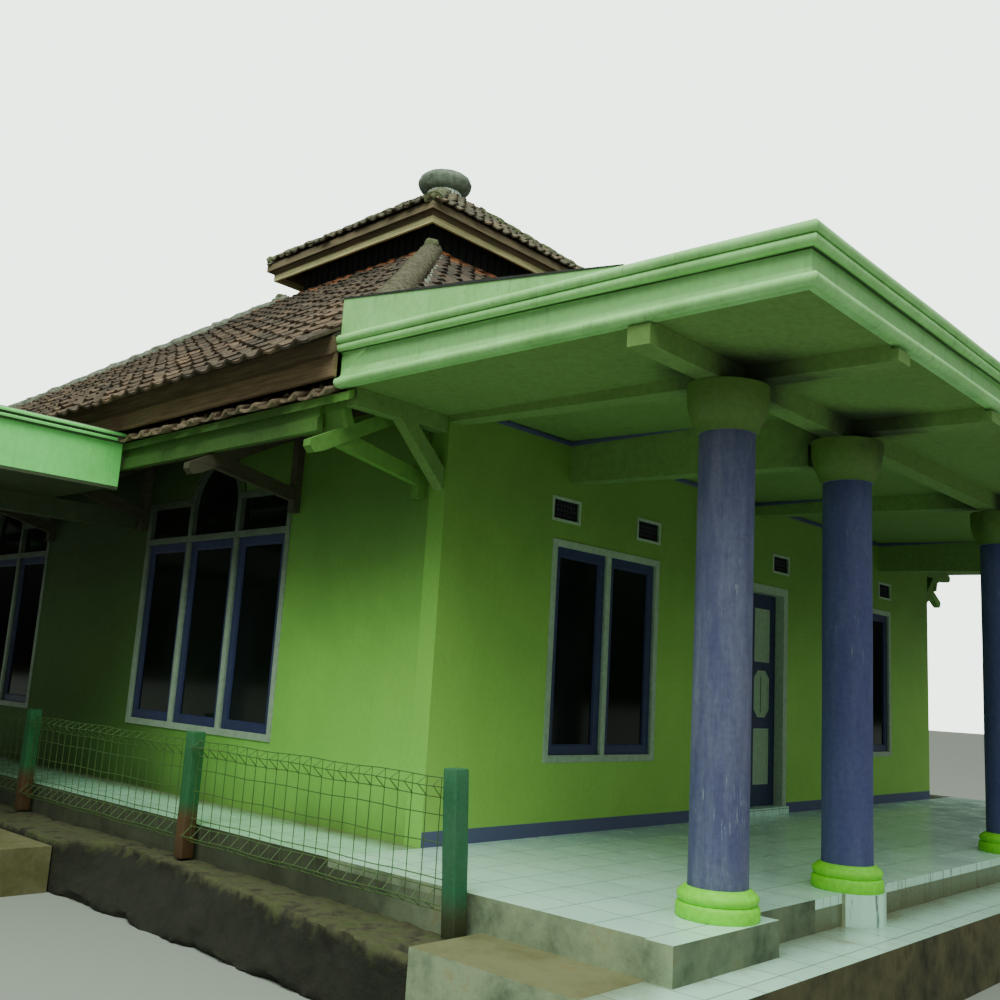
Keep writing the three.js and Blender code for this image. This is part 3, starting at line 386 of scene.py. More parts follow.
@dataclass(frozen=True)
class GlazedTiles(Coating):
    """White glazed tiles with dark joints and a film of dirt, beside raw cement render.

    Level faces above tread_low are tiled, and so are front faces east of riser_east and above riser_low.
    grime_and_shade gives an axis, where earth on the tiles starts and is thickest along it, and how thick it
    is. Raw cement turned to -X is lighter as painted light, and damp darkens it along Y towards
    shaded wet soil as painted shade.
    """

    size: float = 0.30
    joint: float = 0.0022
    joint_shade: int = 0x34382c
    joint_dirt: int = 0x3a3e31
    drip_dirt: int = 0x2c2b1d
    soil: int = 0x5f5636
    trodden: int = 0x7b6f3f
    shaded_wet_soil: int = 0x2b2417
    shift: Vector = Vector((0.13, 0.05, 0.0))
    render: tuple[int, int, int, int] = (0x4a5240, 0x66705a, 0x757e65, 0x75694a)
    grime_and_shade: tuple[int, float, float, float] | None = None
    tread_low: float = -9.0
    riser_east: float = -99.0
    riser_low: float = -9.0
    everywhere: bool = False

    def tiled(self, add: Add, place: Socket, turn: Sockets) -> Socket:
        """Masks the tiled faces.

        Args:
            add: Adds a node to the material.
            place: Object coordinates.
            turn: The face's normal, by axis.

        Returns:
            One on tiles, zero on raw render.
        """
        axes = add("SeparateXYZ", Vector=place).node.outputs
        level = add("Math.GREATER_THAN", turn[2], 0.5)
        high = add("Math.GREATER_THAN", axes[2], self.tread_low)
        tread = add("Math.MULTIPLY", level, high)
        front = add("Math.LESS_THAN", turn[1], -0.5)
        east = add("Math.GREATER_THAN", axes[0], self.riser_east)
        above = add("Math.GREATER_THAN", axes[2], self.riser_low)
        riser = add("Math.MULTIPLY", front, east)
        riser = add("Math.MULTIPLY", riser, above)
        return add("Math.MAXIMUM", tread, riser)

    def build(self) -> Material:
        """Makes the material.

        Returns:
            The finished material.
        """
        material = super().build()
        tree = material.node_tree
        add = partial(add_node, tree)
        shader = tree.nodes["Principled BSDF"]
        place = add("TexCoord").node.outputs["Object"]
        facing = add("NewGeometry").node.outputs["Normal"]
        turn = add("SeparateXYZ", Vector=facing).node.outputs
        at = add("VectorMath.ADD", place, self.shift)
        axes = add("SeparateXYZ", Vector=at).node.outputs
        flat = add("Math.GREATER_THAN", turn[2], 0.5)
        aside = add("Math.ABSOLUTE", turn[0])
        side = add("Math.GREATER_THAN", aside, 0.5)
        across = add("Mix", Factor=side, A=axes[0], B=axes[1])
        up = add("Mix", Factor=flat, A=axes[2], B=axes[1])
        plan = add("CombineXYZ", X=across, Y=up)
        bricks = add("TexBrick", offset=0.0, squash=1.0, Vector=plan, Color1=self.base, Color2=self.patch,
                     Mortar=self.joint_shade, Scale=1.0, Mortar_Size=self.joint, Mortar_Smooth=0.15,
                     Bias=0.0, Brick_Width=self.size, Row_Height=self.size)
        joints = bricks.node.outputs["Fac"]
        gaps = add("TexNoise", Vector=place, Scale=per_mm(420.0), Detail=3.0)
        shown = add("MapRange", Value=gaps, From_Min=0.35, From_Max=0.6, To_Min=0.35)
        drawn = add("Math.MULTIPLY", joints, shown)
        dirt = add("TexNoise", Vector=place, Scale=per_mm(330.0), Detail=8.0, Roughness=0.72)
        film = add("MapRange", Value=dirt, From_Min=0.52, From_Max=0.78, To_Max=self.streak)
        upright = add("Math.SUBTRACT", 1.0, flat)
        colour = add("Mix.RGBA", Factor=film, A=bricks, B=self.stain)
        colour = add("Mix.RGBA", Factor=drawn, A=colour, B=self.joint_dirt)
        run = add("VectorMath.MULTIPLY", place, (30.0, 30.0, 2.0))
        drips = add("TexNoise", Vector=run, Scale=1.0, Detail=6.0, Roughness=0.75)
        trails = add("MapRange", Value=drips, From_Min=0.56, From_Max=0.62, To_Max=0.85)
        trails = add("Math.MULTIPLY", trails, upright)
        colour = add("Mix.RGBA", Factor=trails, A=colour, B=self.drip_dirt)
        if self.grime_and_shade:
            axis, start, end, share = self.grime_and_shade
            uneven = add("Math.MULTIPLY_ADD", dirt, 0.3, axes[axis])
            covered = add("MapRange.SMOOTHSTEP", Value=uneven, From_Min=start + 0.15, From_Max=end + 0.15,
                          To_Max=share)
            colour = add("Mix.RGBA", Factor=covered, A=colour, B=self.soil)
        gloss = add("MapRange", Value=dirt, From_Min=0.4, From_Max=0.75, To_Min=0.14, To_Max=0.42)
        gloss = add("Math.MAXIMUM", gloss, drawn)
        height = add("Math.MULTIPLY", drawn, -1.0)
        if not self.everywhere:
            glazed = self.tiled(add, place, turn)
            raw = add("Math.SUBTRACT", 1.0, glazed)
            cloud = add("TexNoise", Vector=place, Scale=per_mm(260.0), Detail=9.0, Roughness=0.66)
            tones = list(zip((0.34, 0.48, 0.60, 0.72), self.render))
            cement = add("ValToRGB", Fac=cloud, stops=tones)
            earth = add("Math.MULTIPLY", flat, 0.5)
            cement = add("Mix.RGBA", Factor=earth, A=cement, B=self.trodden)
            # Painted light: raw cement turned to -X is lighter, other faces a little darker
            pale = add("MapRange", Value=turn[0], From_Min=-1.0, From_Max=-0.2, To_Min=1.7, To_Max=0.9)
            cement = add("VectorMath.SCALE", Vector=cement, Scale=pale)
            # Painted shade: raw cement darkens along Y towards the shaded wet soil colour
            if self.damp:
                start, end, least = self.damp
                wet = add("MapRange.SMOOTHSTEP", Value=axes[1], From_Min=start, From_Max=end,
                          To_Max=1.0 - least)
                cement = add("Mix.RGBA", Factor=wet, A=cement, B=self.shaded_wet_soil)
            colour = add("Mix.RGBA", Factor=raw, A=colour, B=cement)
            gloss = add("Math.MAXIMUM", gloss, raw)
            grit = add("TexNoise", Vector=place, Scale=per_mm(24.0), Detail=9.0, Roughness=0.7)
            height = add("Mix", Factor=raw, A=height, B=grit)
        tree.links.new(colour, shader.inputs["Base Color"])
        tree.links.new(gloss, shader.inputs["Roughness"])
        edge = add("Bump", Strength=0.6, Distance=0.003, Height=height)
        ripple = add("TexNoise", Vector=place, Scale=per_mm(180.0))
        tree.links.new(add("Bump", Strength=0.05, Distance=0.004, Height=ripple, Normal=edge),
                       shader.inputs["Normal"])
        return material


@dataclass(frozen=True)
class RoofBody(Coating):
    """Timber and mortar of a hipped roof tier under its tiles: boards below, mortar caps above.

    The tier's surface starts at the eave and rises by pitch towards the middle of the tier.
    """

    centre: Point = ROOF_MIDDLE
    half: float = 4.9
    eave: float = 3.56
    pitch: float = 0.738
    trim: int = 0x5b4632
    trim_top: float = 3.44
    strip: int = 0x5b4632
    strip_top: float = 3.30
    cap: tuple[int, int, int] = (0x3f4032, 0x77786a, 0x9a9c86)

    def colour(self, add: Add, place: Socket) -> Socket:
        """Builds the colour.

        Args:
            add: Adds a node to the material.
            place: Object coordinates.

        Returns:
            The colour socket.
        """
        dark = super().colour(add, place)
        axes = add("SeparateXYZ", Vector=place).node.outputs
        reach = []
        for axis in (0, 1):
            off = add("Math.SUBTRACT", axes[axis], self.centre[axis])
            reach.append(add("Math.ABSOLUTE", off))
        far = add("Math.MAXIMUM", reach[0], reach[1])
        top = add("Math.MULTIPLY_ADD", far, -self.pitch, self.eave + self.pitch * self.half)
        over = add("Math.SUBTRACT", axes[2], top)
        grain = add("VectorMath.MULTIPLY", place, (2.0, 2.0, 40.0))
        fibres = add("TexNoise", Vector=grain, Scale=1.5, Detail=8.0, Roughness=0.6)
        worn = add("MapRange", Value=fibres, From_Min=0.35, From_Max=0.7, To_Min=0.55, To_Max=1.15)
        board = add("Mix.RGBA", Factor=band_mask(add, axes[2], -9.0, self.strip_top, 0.004), A=self.trim,
                    B=self.strip)
        board = add("VectorMath.SCALE", Vector=board, Scale=worn)
        timber = band_mask(add, axes[2], -9.0, self.trim_top, 0.004)
        colour = add("Mix.RGBA", Factor=timber, A=dark, B=board)
        lumps = add("TexNoise", Vector=place, Scale=per_mm(130.0), Detail=9.0, Roughness=0.7)
        mortar = add("ValToRGB", Fac=lumps, stops=list(zip((0.35, 0.5, 0.68), self.cap)))
        raised = add("Math.GREATER_THAN", over, 0.006)
        return add("Mix.RGBA", Factor=raised, A=colour, B=mortar)


@dataclass(frozen=True)
class SkirtTimber(Coating):
    """Timber of a tile skirt: painted eave board and end bracket, bare grey brackets, dark clay above.

    slope and plane give the underside of the tiles, plane being its height at X = 0. board_in and board_out
    are the eave board's faces by distance from the hall's middle, and board_low is its lower edge.
    """

    side: float = -1.0
    clay: int = 0x43382f
    bare: int = 0x453f2f
    painted_to: float = 0.6
    slope: float = 0.5
    plane: float = 3.565
    board_low: float = FLOOR + 2.468
    board_out: float = MID_X + 0.775
    board_in: float = MID_X + 0.742

    def colour(self, add: Add, place: Socket) -> Socket:
        """Builds the colour.

        Args:
            add: Adds a node to the material.
            place: Object coordinates.

        Returns:
            The colour socket.
        """
        paint = super().colour(add, place)
        lean = Vector((self.slope * self.side, 0.0, 1.0))
        level = self.plane if self.side < 0 else self.plane + self.slope * HALL_W
        rise = add("VectorMath.DOT_PRODUCT", place, lean)
        height = rise.node.outputs["Value"]
        above = add("Math.GREATER_THAN", height, level)
        axes = add("SeparateXYZ", Vector=place).node.outputs
        from_middle = add("Math.SUBTRACT", axes[0], MID_X)
        out = add("Math.ABSOLUTE", from_middle)
        behind = add("Math.LESS_THAN", out, self.board_out)
        above = add("Math.MULTIPLY", above, behind)
        inside = add("Math.LESS_THAN", out, self.board_in)
        far = add("Math.GREATER_THAN", axes[1], self.painted_to)
        low = add("Math.LESS_THAN", axes[2], self.board_low)
        hidden = add("Math.MAXIMUM", inside, low)
        hidden = add("Math.MULTIPLY", hidden, far)
        along = add("VectorMath.MULTIPLY", place, (3.0, 30.0, 30.0))
        fibres = add("TexNoise", Vector=along, Scale=1.5, Detail=8.0, Roughness=0.7)
        grey = add("MapRange", Value=fibres, From_Min=0.3, From_Max=0.7, To_Min=0.55, To_Max=1.3)
        wood = add("VectorMath.SCALE", Vector=linear(self.bare)[:3], Scale=grey)
        # Painted light: the paint brightens towards the front end of the skirt
        lit = add("MapRange", Value=axes[1], From_Min=0.15, From_Max=0.70, To_Min=2.1, To_Max=1.0)
        paint = add("VectorMath.SCALE", Vector=paint, Scale=lit)
        paint = add("Mix.RGBA", Factor=hidden, A=paint, B=wood)
        return add("Mix.RGBA", Factor=above, A=paint, B=self.clay)


@dataclass(frozen=True)
class ClayTile(Coating):
    """Old pressed clay tiles: each tile its own brown, lichen, dark dirt in patches, orange where renewed.
    """

    moss: float = 0.35
    moss_colour: int = 0x767a60
    oldest: int = 0x3f342b
    palest: int = 0x80654f
    new_clay: int = 0xb0643a
    renewed_above: float = 99.0

    def colour(self, add: Add, place: Socket) -> Socket:
        """Builds the colour.

        Args:
            add: Adds a node to the material.
            place: Object coordinates.

        Returns:
            The colour socket.
        """
        tone = add("Attribute", attribute_name="tile_tone").node.outputs["Fac"]
        browns = add("ValToRGB", Fac=tone,
                     stops=((0.0, self.oldest), (0.3, self.base), (0.7, self.patch), (1.0, self.palest)))
        axes = add("SeparateXYZ", Vector=place).node.outputs
        newer = add("Math.MULTIPLY_ADD", tone, 0.3, axes[2])
        fresh = band_mask(add, newer, self.renewed_above, 99.0, 0.05)
        browns = add("Mix.RGBA", Factor=fresh, A=browns, B=self.new_clay)
        clouds = add("TexNoise", Vector=place, Scale=per_mm(45.0), Detail=8.0, Roughness=0.7)
        dirt = add("MapRange", Value=clouds, From_Min=0.45, From_Max=0.66, To_Max=0.75)
        browns = add("Mix.RGBA", Factor=dirt, A=browns, B=self.stain)
        growth = add("TexNoise", Vector=place, Scale=per_mm(28.0), Detail=9.0, Roughness=0.75)
        lichen = add("MapRange", Value=growth, From_Min=0.53, From_Max=0.66, To_Max=self.moss)
        aged = add("Mix.RGBA", Factor=lichen, A=browns, B=self.moss_colour)
        # Painted shade: the tiles darken towards the top
        if self.shade:
            start, end, least = self.shade
            dim = add("MapRange.SMOOTHSTEP", Value=axes[2], From_Min=start, From_Max=end, To_Min=1.0,
                      To_Max=least)
            aged = add("VectorMath.SCALE", Vector=aged, Scale=dim)
        return aged


@dataclass(frozen=True)
class WindowGlass(Coating):
    """Thin window glass, nearly black from outside as painted shade of the dark room, with a faint dusty
    film.
    """

    def build(self) -> Material:
        """Makes the material.

        Returns:
            The finished material.
        """
        material = super().build()
        shader = material.node_tree.nodes["Principled BSDF"]
        for name in ("Roughness", "Normal"):
            material.node_tree.links.remove(shader.inputs[name].links[0])
        shader.inputs["Roughness"].default_value = self.roughness
        shader.inputs["Specular IOR Level"].default_value = 0.22
        return material


def select_only(*pieces: Piece) -> None:
    """Selects these objects and nothing else, the first one active."""
    bpy.ops.object.select_all(action="DESELECT")
    for piece in pieces:
        piece.select_set(True)
    bpy.context.view_layer.objects.active = pieces[0]


def settle(piece: Piece) -> Piece:
    """Writes an object's place, turn and scale into its mesh."""
    select_only(piece)
    bpy.ops.object.transform_apply(location=True, rotation=True, scale=True)
    return piece


def apply_modifier(piece: Piece, kind: str, **settings: object) -> None:
    """Adds a modifier, sets it and applies it.

    Args:
        piece: The object.
        kind: Blender's name for the modifier's type.
        settings: Properties of the modifier.
    """
    modifier = piece.modifiers.new(kind.title(), kind)
    for name, value in settings.items():
        setattr(modifier, name, value)
    select_only(piece)
    bpy.ops.object.modifier_apply(modifier=modifier.name)


def bar(name: str, low: tuple, high: tuple, bevel: float = 0.003) -> Piece:
    """Makes a bar with rounded edges.

    Args:
        name: Name of the object.
        low: Lowest corner.
        high: Highest corner.
        bevel: Width of the rounding.

    Returns:
        The bar, its place in its mesh.
    """
    lo, hi = Vector(low), Vector(high)
    bpy.ops.object.select_all(action="DESELECT")
    bpy.ops.mesh.primitive_cube_add(size=1.0, location=(lo + hi) / 2, scale=hi - lo)
    piece = settle(bpy.context.active_object)
    piece.name = name
    bpy.ops.object.mode_set(mode="EDIT")
    bpy.ops.mesh.select_all(action="SELECT")
    bpy.ops.mesh.bevel(offset=bevel, segments=2, affect="EDGES")
    bpy.ops.object.mode_set(mode="OBJECT")
    return piece


def copy_moved(piece: Piece, matrix: Matrix) -> Piece:
    """Copies a piece with its own mesh and moves the copy's mesh.

    Args:
        piece: The piece to copy.
        matrix: Where the copy goes; one that mirrors gets its faces turned back out.

    Returns:
        The copy.
    """
    select_only(piece)
    bpy.ops.object.duplicate(linked=False)
    twin = bpy.context.active_object
    twin.data.transform(matrix)
    if matrix.determinant() < 0:
        twin.data.flip_normals()
    return twin


def join(name: str, pieces: list[Piece]) -> Piece:
    """Joins pieces into one object.

    Args:
        name: Name of the result.
        pieces: The pieces, the first one is kept.

    Returns:
        The joined object.
    """
    select_only(*pieces)
    if len(pieces) > 1:
        bpy.ops.object.join()
    pieces[0].name = name
    return pieces[0]


def round_off(piece: Piece, angle: float = 40.0) -> Piece:
    """Shades a piece smooth up to an edge angle in degrees."""
    select_only(piece)
    bpy.ops.object.shade_smooth_by_angle(angle=math.radians(angle))
    return piece


def plate(name: str, loops: list[Loop], depth: tuple[float, float], upright: Matrix,
          bevel: float = 0.0015) -> Piece:
    """Makes a flat plate with holes from a filled curve.

    Args:
        name: Name of the object.
        loops: Outline and holes.
        depth: The two faces' places along the plate's own normal.
        upright: Turns the plate's own plane into the building.
        bevel: Width of the rounded edges.

    Returns:
        The plate as a mesh.
    """
    curve = bpy.data.curves.new(name, "CURVE")
    curve.dimensions = "2D"
    curve.fill_mode = "BOTH"
    curve.bevel_depth = bevel
    curve.bevel_resolution = 1
    curve.extrude = (depth[1] - depth[0]) / 2 - bevel
    for loop in loops:
        spline = curve.splines.new("POLY")
        spline.points.add(len(loop) - 1)
        spline.use_cyclic_u = True
        for point, (u, v) in zip(spline.points, loop):
            point.co = (u, v, 0.0, 1.0)
    piece = bpy.data.objects.new(name, curve)
    bpy.context.scene.collection.objects.link(piece)
    select_only(piece)
    bpy.ops.object.convert(target="MESH")
    piece = bpy.context.active_object
    piece.data.transform(Matrix.Translation((0.0, 0.0, (depth[0] + depth[1]) / 2)))
    piece.data.transform(upright)
    if upright.determinant() < 0:
        piece.data.flip_normals()
    return piece


# A plate's plane turned to the front wall, to the left wall, and the building's mirror image
FACING_FRONT = Matrix(((1, 0, 0, 0), (0, 0, 1, 0), (0, 1, 0, 0), (0, 0, 0, 1)))
FACING_SIDE = Matrix(((0, 0, 1, 0), (1, 0, 0, 0), (0, 1, 0, 0), (0, 0, 0, 1)))
MIRRORED = Matrix.Translation((HALL_W, 0, 0)) @ Matrix.Scale(-1, 4, (1, 0, 0))


def rectangle(u0: float, u1: float, v0: float, v1: float) -> Loop:
    """Gives the corners of a rectangle."""
    return [(u0, v0), (u1, v0), (u1, v1), (u0, v1)]


def roughen(piece: Piece, amount: float, size: float) -> None:
    """Moves a mesh's points by smooth noise, as hand-laid plaster does.

    Args:
        piece: The object.
        amount: Largest move in metres.
        size: Width of the waves in metres.
    """
    for vertex in piece.data.vertices:
        vertex.co += noise.noise_vector(vertex.co / size) * amount


@dataclass
class Workshop:
    """Finishes by name, and the count of what was made."""

    materials: dict[str, Material]
    pieces: int = 0

    def dress(self, piece: Piece, finish: str, slot: Slot, body: str = BUILDING,
              smooth: float | None = 40.0) -> Piece:
        """Gives a new piece its material and body.

        Args:
            piece: The piece.
            finish: Name of the finish.
            slot: The record's material slot; not used.
            body: The body it moves with.
            smooth: Edge angle under which it is shaded smooth, in degrees.

        Returns:
            The piece.
        """
        if smooth:
            round_off(piece, smooth)
        piece.data.materials.clear()
        piece.data.materials.append(self.materials[finish])
        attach(piece, body)
        self.pieces += 1
        log.info("%s: %d faces, %s", piece.name, len(piece.data.polygons), finish)
        return piece

    def finish_node(self, finish: str, *names: str) -> None:
        """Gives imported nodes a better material.

        Args:
            finish: Name of the finish.
            names: Names of the nodes.
        """
        for name in names:
            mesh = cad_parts[name].data
            mesh.materials.clear()
            mesh.materials.append(self.materials[finish])
            log.info("%s: packed solid, %s", name, finish)


@dataclass
class Trade:
    """A sub-assembly, made and dressed at one workshop."""

    shop: Workshop


@dataclass
class Columns(Trade):
    """Five plastered porch columns with moulded bases and bell capitals, and the canopy's plain posts."""

    xs: tuple[float, ...] = (-0.058, 1.305, MID_X, 6.695, 8.058)
    y: float = COLUMN_Y
    canopy_x: float = -3.9
    canopy_ys: Point = (4.02, 8.25)
    top: float = 2.545
    fall: float = 0.035
    profile: tuple[Point, ...] = (
        (0.190, 0.0), (0.195, 0.008), (0.194, 0.056), (0.187, 0.066), (0.177, 0.070), (0.184, 0.077),
        (0.190, 0.090), (0.189, 0.104), (0.180, 0.116), (0.166, 0.122), (0.160, 0.132), (0.146, 0.136),
        (0.1405, 0.1375), (0.140, 0.3), (0.1402, 0.6), (0.1398, 0.9), (0.1400, 1.2), (0.1403, 1.5),
        (0.1398, 1.8), (0.140, 2.1), (0.140, 2.290), (0.137, 2.294), (0.153, 2.300), (0.158, 2.322),
        (0.166, 2.340), (0.178, 2.362), (0.190, 2.388), (0.198, 2.418), (0.204, 2.448), (0.206, 2.475),
        (0.206, 2.545))
    canopy_profile: tuple[Point, ...] = (
        (0.132, -0.25), (0.136, -0.242), (0.135, -0.200), (0.126, -0.190), (0.131, -0.176), (0.129, -0.156),
        (0.116, -0.146), (0.1105, -0.140), (0.110, 0.4), (0.1103, 1.0), (0.110, 1.6), (0.110, 2.010),
        (0.107, 2.014), (0.120, 2.020), (0.126, 2.046), (0.138, 2.080), (0.147, 2.118), (0.150, 2.150),
        (0.150, 2.180))

    def turn(self, name: str, x: float, y: float, outline: tuple[Point, ...], sides: int = 64) -> Piece:
        """Turns a round post by drawing a ring upwards along its outline.

        Args:
            name: Name of the object.
            x: Axis along X.
            y: Axis along Y.
            outline: Radius and height above the porch floor, upwards.
            sides: Sides of the ring.

        Returns:
            The post.
        """
        bpy.ops.object.select_all(action="DESELECT")
        radius, foot = outline[0]
        bpy.ops.mesh.primitive_circle_add(vertices=sides, radius=radius, fill_type="NGON",
                                          location=(x, y, FLOOR + foot))
        post = settle(bpy.context.active_object)
        post.name = name
        bpy.ops.object.mode_set(mode="EDIT")
        bpy.ops.mesh.select_all(action="SELECT")
        for (r0, z0), (r1, z1) in zip(outline, outline[1:]):
            bpy.ops.mesh.extrude_region_move(TRANSFORM_OT_translate={"value": (0, 0, z1 - z0)})
            share = r1 / r0
            bpy.ops.transform.resize(value=(share, share, 1.0), center_override=(x, y, FLOOR + z1))
        bpy.ops.mesh.select_all(action="SELECT")
        bpy.ops.mesh.normals_make_consistent(inside=False)
        bpy.ops.object.mode_set(mode="OBJECT")
        return post

    def build(self) -> None:
        """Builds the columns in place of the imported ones."""
        for number, x in enumerate(self.xs, start=1):
            column = self.turn(f"round_column_{number}", x, self.y, self.profile)
            crown = FLOOR + self.top
            for vertex in column.data.vertices:
                if vertex.co.z > crown - 0.002:
                    vertex.co.z = crown - 0.0004 + self.fall * (vertex.co.y - self.y)
                elif vertex.co.z > FLOOR + 0.004:
                    vertex.co += noise.noise_vector(vertex.co / 0.11) * 0.0022
            finish = "washed column paint" if number in (1, len(self.xs)) else "column paint"
            self.shop.dress(column, finish, Slot.COLUMN)
            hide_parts(f"column_{number}")
        for number, y in enumerate(self.canopy_ys, start=1):
            post = self.turn(f"canopy_post_{number}", self.canopy_x, y, self.canopy_profile, 48)
            self.shop.dress(post, "canopy post paint", Slot.COLUMN)
            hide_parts(f"canopy_column_{number}")


def arc_points(centre: float, radius: float, out: float, start: float, end: float, steps: int = 9) -> Loop:
    """Gives points along a roll of a moulding.

    Args:
        centre: Height of the roll's centre.
        radius: Radius of the roll.
        out: How far the centre stands out.
        start: First angle in degrees.
        end: Last angle in degrees.
        steps: Faces along the roll.

    Returns:
        Points as distance out and height.
    """
    turns = [math.radians(start + (end - start) * i / steps) for i in range(steps + 1)]
    return [(out + radius * math.cos(a), centre + radius * math.sin(a)) for a in turns]


def sweep(name: str, sections: list[list[Vector]]) -> Piece:
    """Draws a closed profile through sections and closes its ends.

    Args:
        name: Name of the object.
        sections: The profile at each place along the run, in order.

    Returns:
        The swept piece.
    """
    mesh = bpy.data.meshes.new(name)
    mesh.from_pydata(sections[0], [], [tuple(range(len(sections[0])))])
    piece = bpy.data.objects.new(name, mesh)
    bpy.context.scene.collection.objects.link(piece)
    select_only(piece)
    for section in sections[1:]:
        bpy.ops.object.mode_set(mode="EDIT")
        bpy.ops.mesh.select_mode(type="FACE")
        bpy.ops.mesh.extrude_region_move(TRANSFORM_OT_translate={"value": (0, 0, 0)})
        bpy.ops.object.mode_set(mode="OBJECT")
        end = sorted((v for v in mesh.vertices if v.select), key=lambda v: v.index)
        for vertex, place in zip(end, section):
            vertex.co = place
    bpy.ops.object.mode_set(mode="EDIT")
    bpy.ops.mesh.select_all(action="SELECT")
    bpy.ops.mesh.normals_make_consistent(inside=False)
    bpy.ops.object.mode_set(mode="OBJECT")
    return piece


@dataclass
class EdgeMouldings(Trade):
    """Run plaster mouldings round the porch roof and the side canopy."""

    side: float = 0.8
    front: float = 2.9
    back: float = 0.12
    soffit: float = 2.79
    fall: float = 0.035
    sag: float = 0.048
    slab: float = 0.12
    front_limit: float = -2.9735
    kerb_xs: Point = (-0.845, HALL_W + 0.735)
    kerb_ys: Spot = (-1.99, -1.0, 0.118)
    kerb_zs: Point = (FLOOR + 2.955, FLOOR + 3.253)
    kerb_width: float = 0.11

    def porch_profile(self) -> Loop:
        """Gives the porch roof's profile: distance out and height above the soffit, in metres."""
        return [(0.0003, -0.052), *arc_points(-0.022, 0.030, 0.038, -90, 90), (0.018, 0.012), (0.018, 0.118),
                *arc_points(0.148, 0.028, 0.034, -90, 60), *arc_points(0.196, 0.032, 0.042, -50, 90),
                (-0.070, 0.228), (-0.070, self.slab + 0.0003), (0.0003, self.slab + 0.0003)]

    def runs(self, left: float, right: float) -> list[list[Vector]]:
        """Gives the profile at points along the porch roof's edge.

        Args:
            left: X of the left edge.
            right: X of the right edge.

        Returns:
            The sections from the left back corner round to the right back corner.
        """
        profile = self.porch_profile()

        def section(x: float, toward: int, y: float, mitre: int) -> list[Vector]:
            """Gives one section, its front mitred where mitre is one."""
            points = []
            for out, height in profile:
                at_y = y - mitre * out
                inward = max(0.0, (y + self.front) / (self.back + self.front))
                droop = self.sag * inward if height < 0.015 else 0.0
                points.append(Vector((x + toward * out, at_y, FLOOR + self.soffit + height - droop
                                      + self.fall * at_y)))
            return points

        ys = [self.back - i * (self.back + self.front) / 12 for i in range(13)]
        xs = [left + i * (right - left) / 40 for i in range(41)]
        sections = [section(left, -1, y, 0) for y in ys[:-1]] + [section(left, -1, -self.front, 1)]
        for x in xs[1:-1]:
            sections.append([Vector((x, -self.front - out, FLOOR + self.soffit + height
                                     + self.fall * (-self.front - out))) for out, height in profile])
        sections.append(section(right, 1, -self.front, 1))
        return sections + [section(right, 1, y, 0) for y in reversed(ys[:-1])]

    def build(self) -> None:
        """Builds the porch roof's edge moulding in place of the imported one."""
        edge = sweep("porch_edge_moulding", self.runs(-self.side, HALL_W + self.side))
        for vertex in edge.data.vertices:
            vertex.co += noise.noise_vector(vertex.co / 0.9) * 0.003
            vertex.co.y = max(vertex.co.y, self.front_limit)
        self.shop.dress(edge, "edge paint", Slot.MOULDING, smooth=50.0)
        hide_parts("porch_cornice")
        (front, middle, back), (low, high) = self.kerb_ys, self.kerb_zs
        outline = [(front, low), (back, high), (back, high + 0.007), (middle, (low + high) / 2 + 0.008),
                   (front, low + 0.004)]
        for number, near in enumerate(self.kerb_xs, start=1):
            flashing = plate(f"kerb_flashing_{number}", [outline], (near, near + self.kerb_width),
                             FACING_SIDE, 0.001)
            self.shop.dress(flashing, "bitumen", Slot.MOULDING)


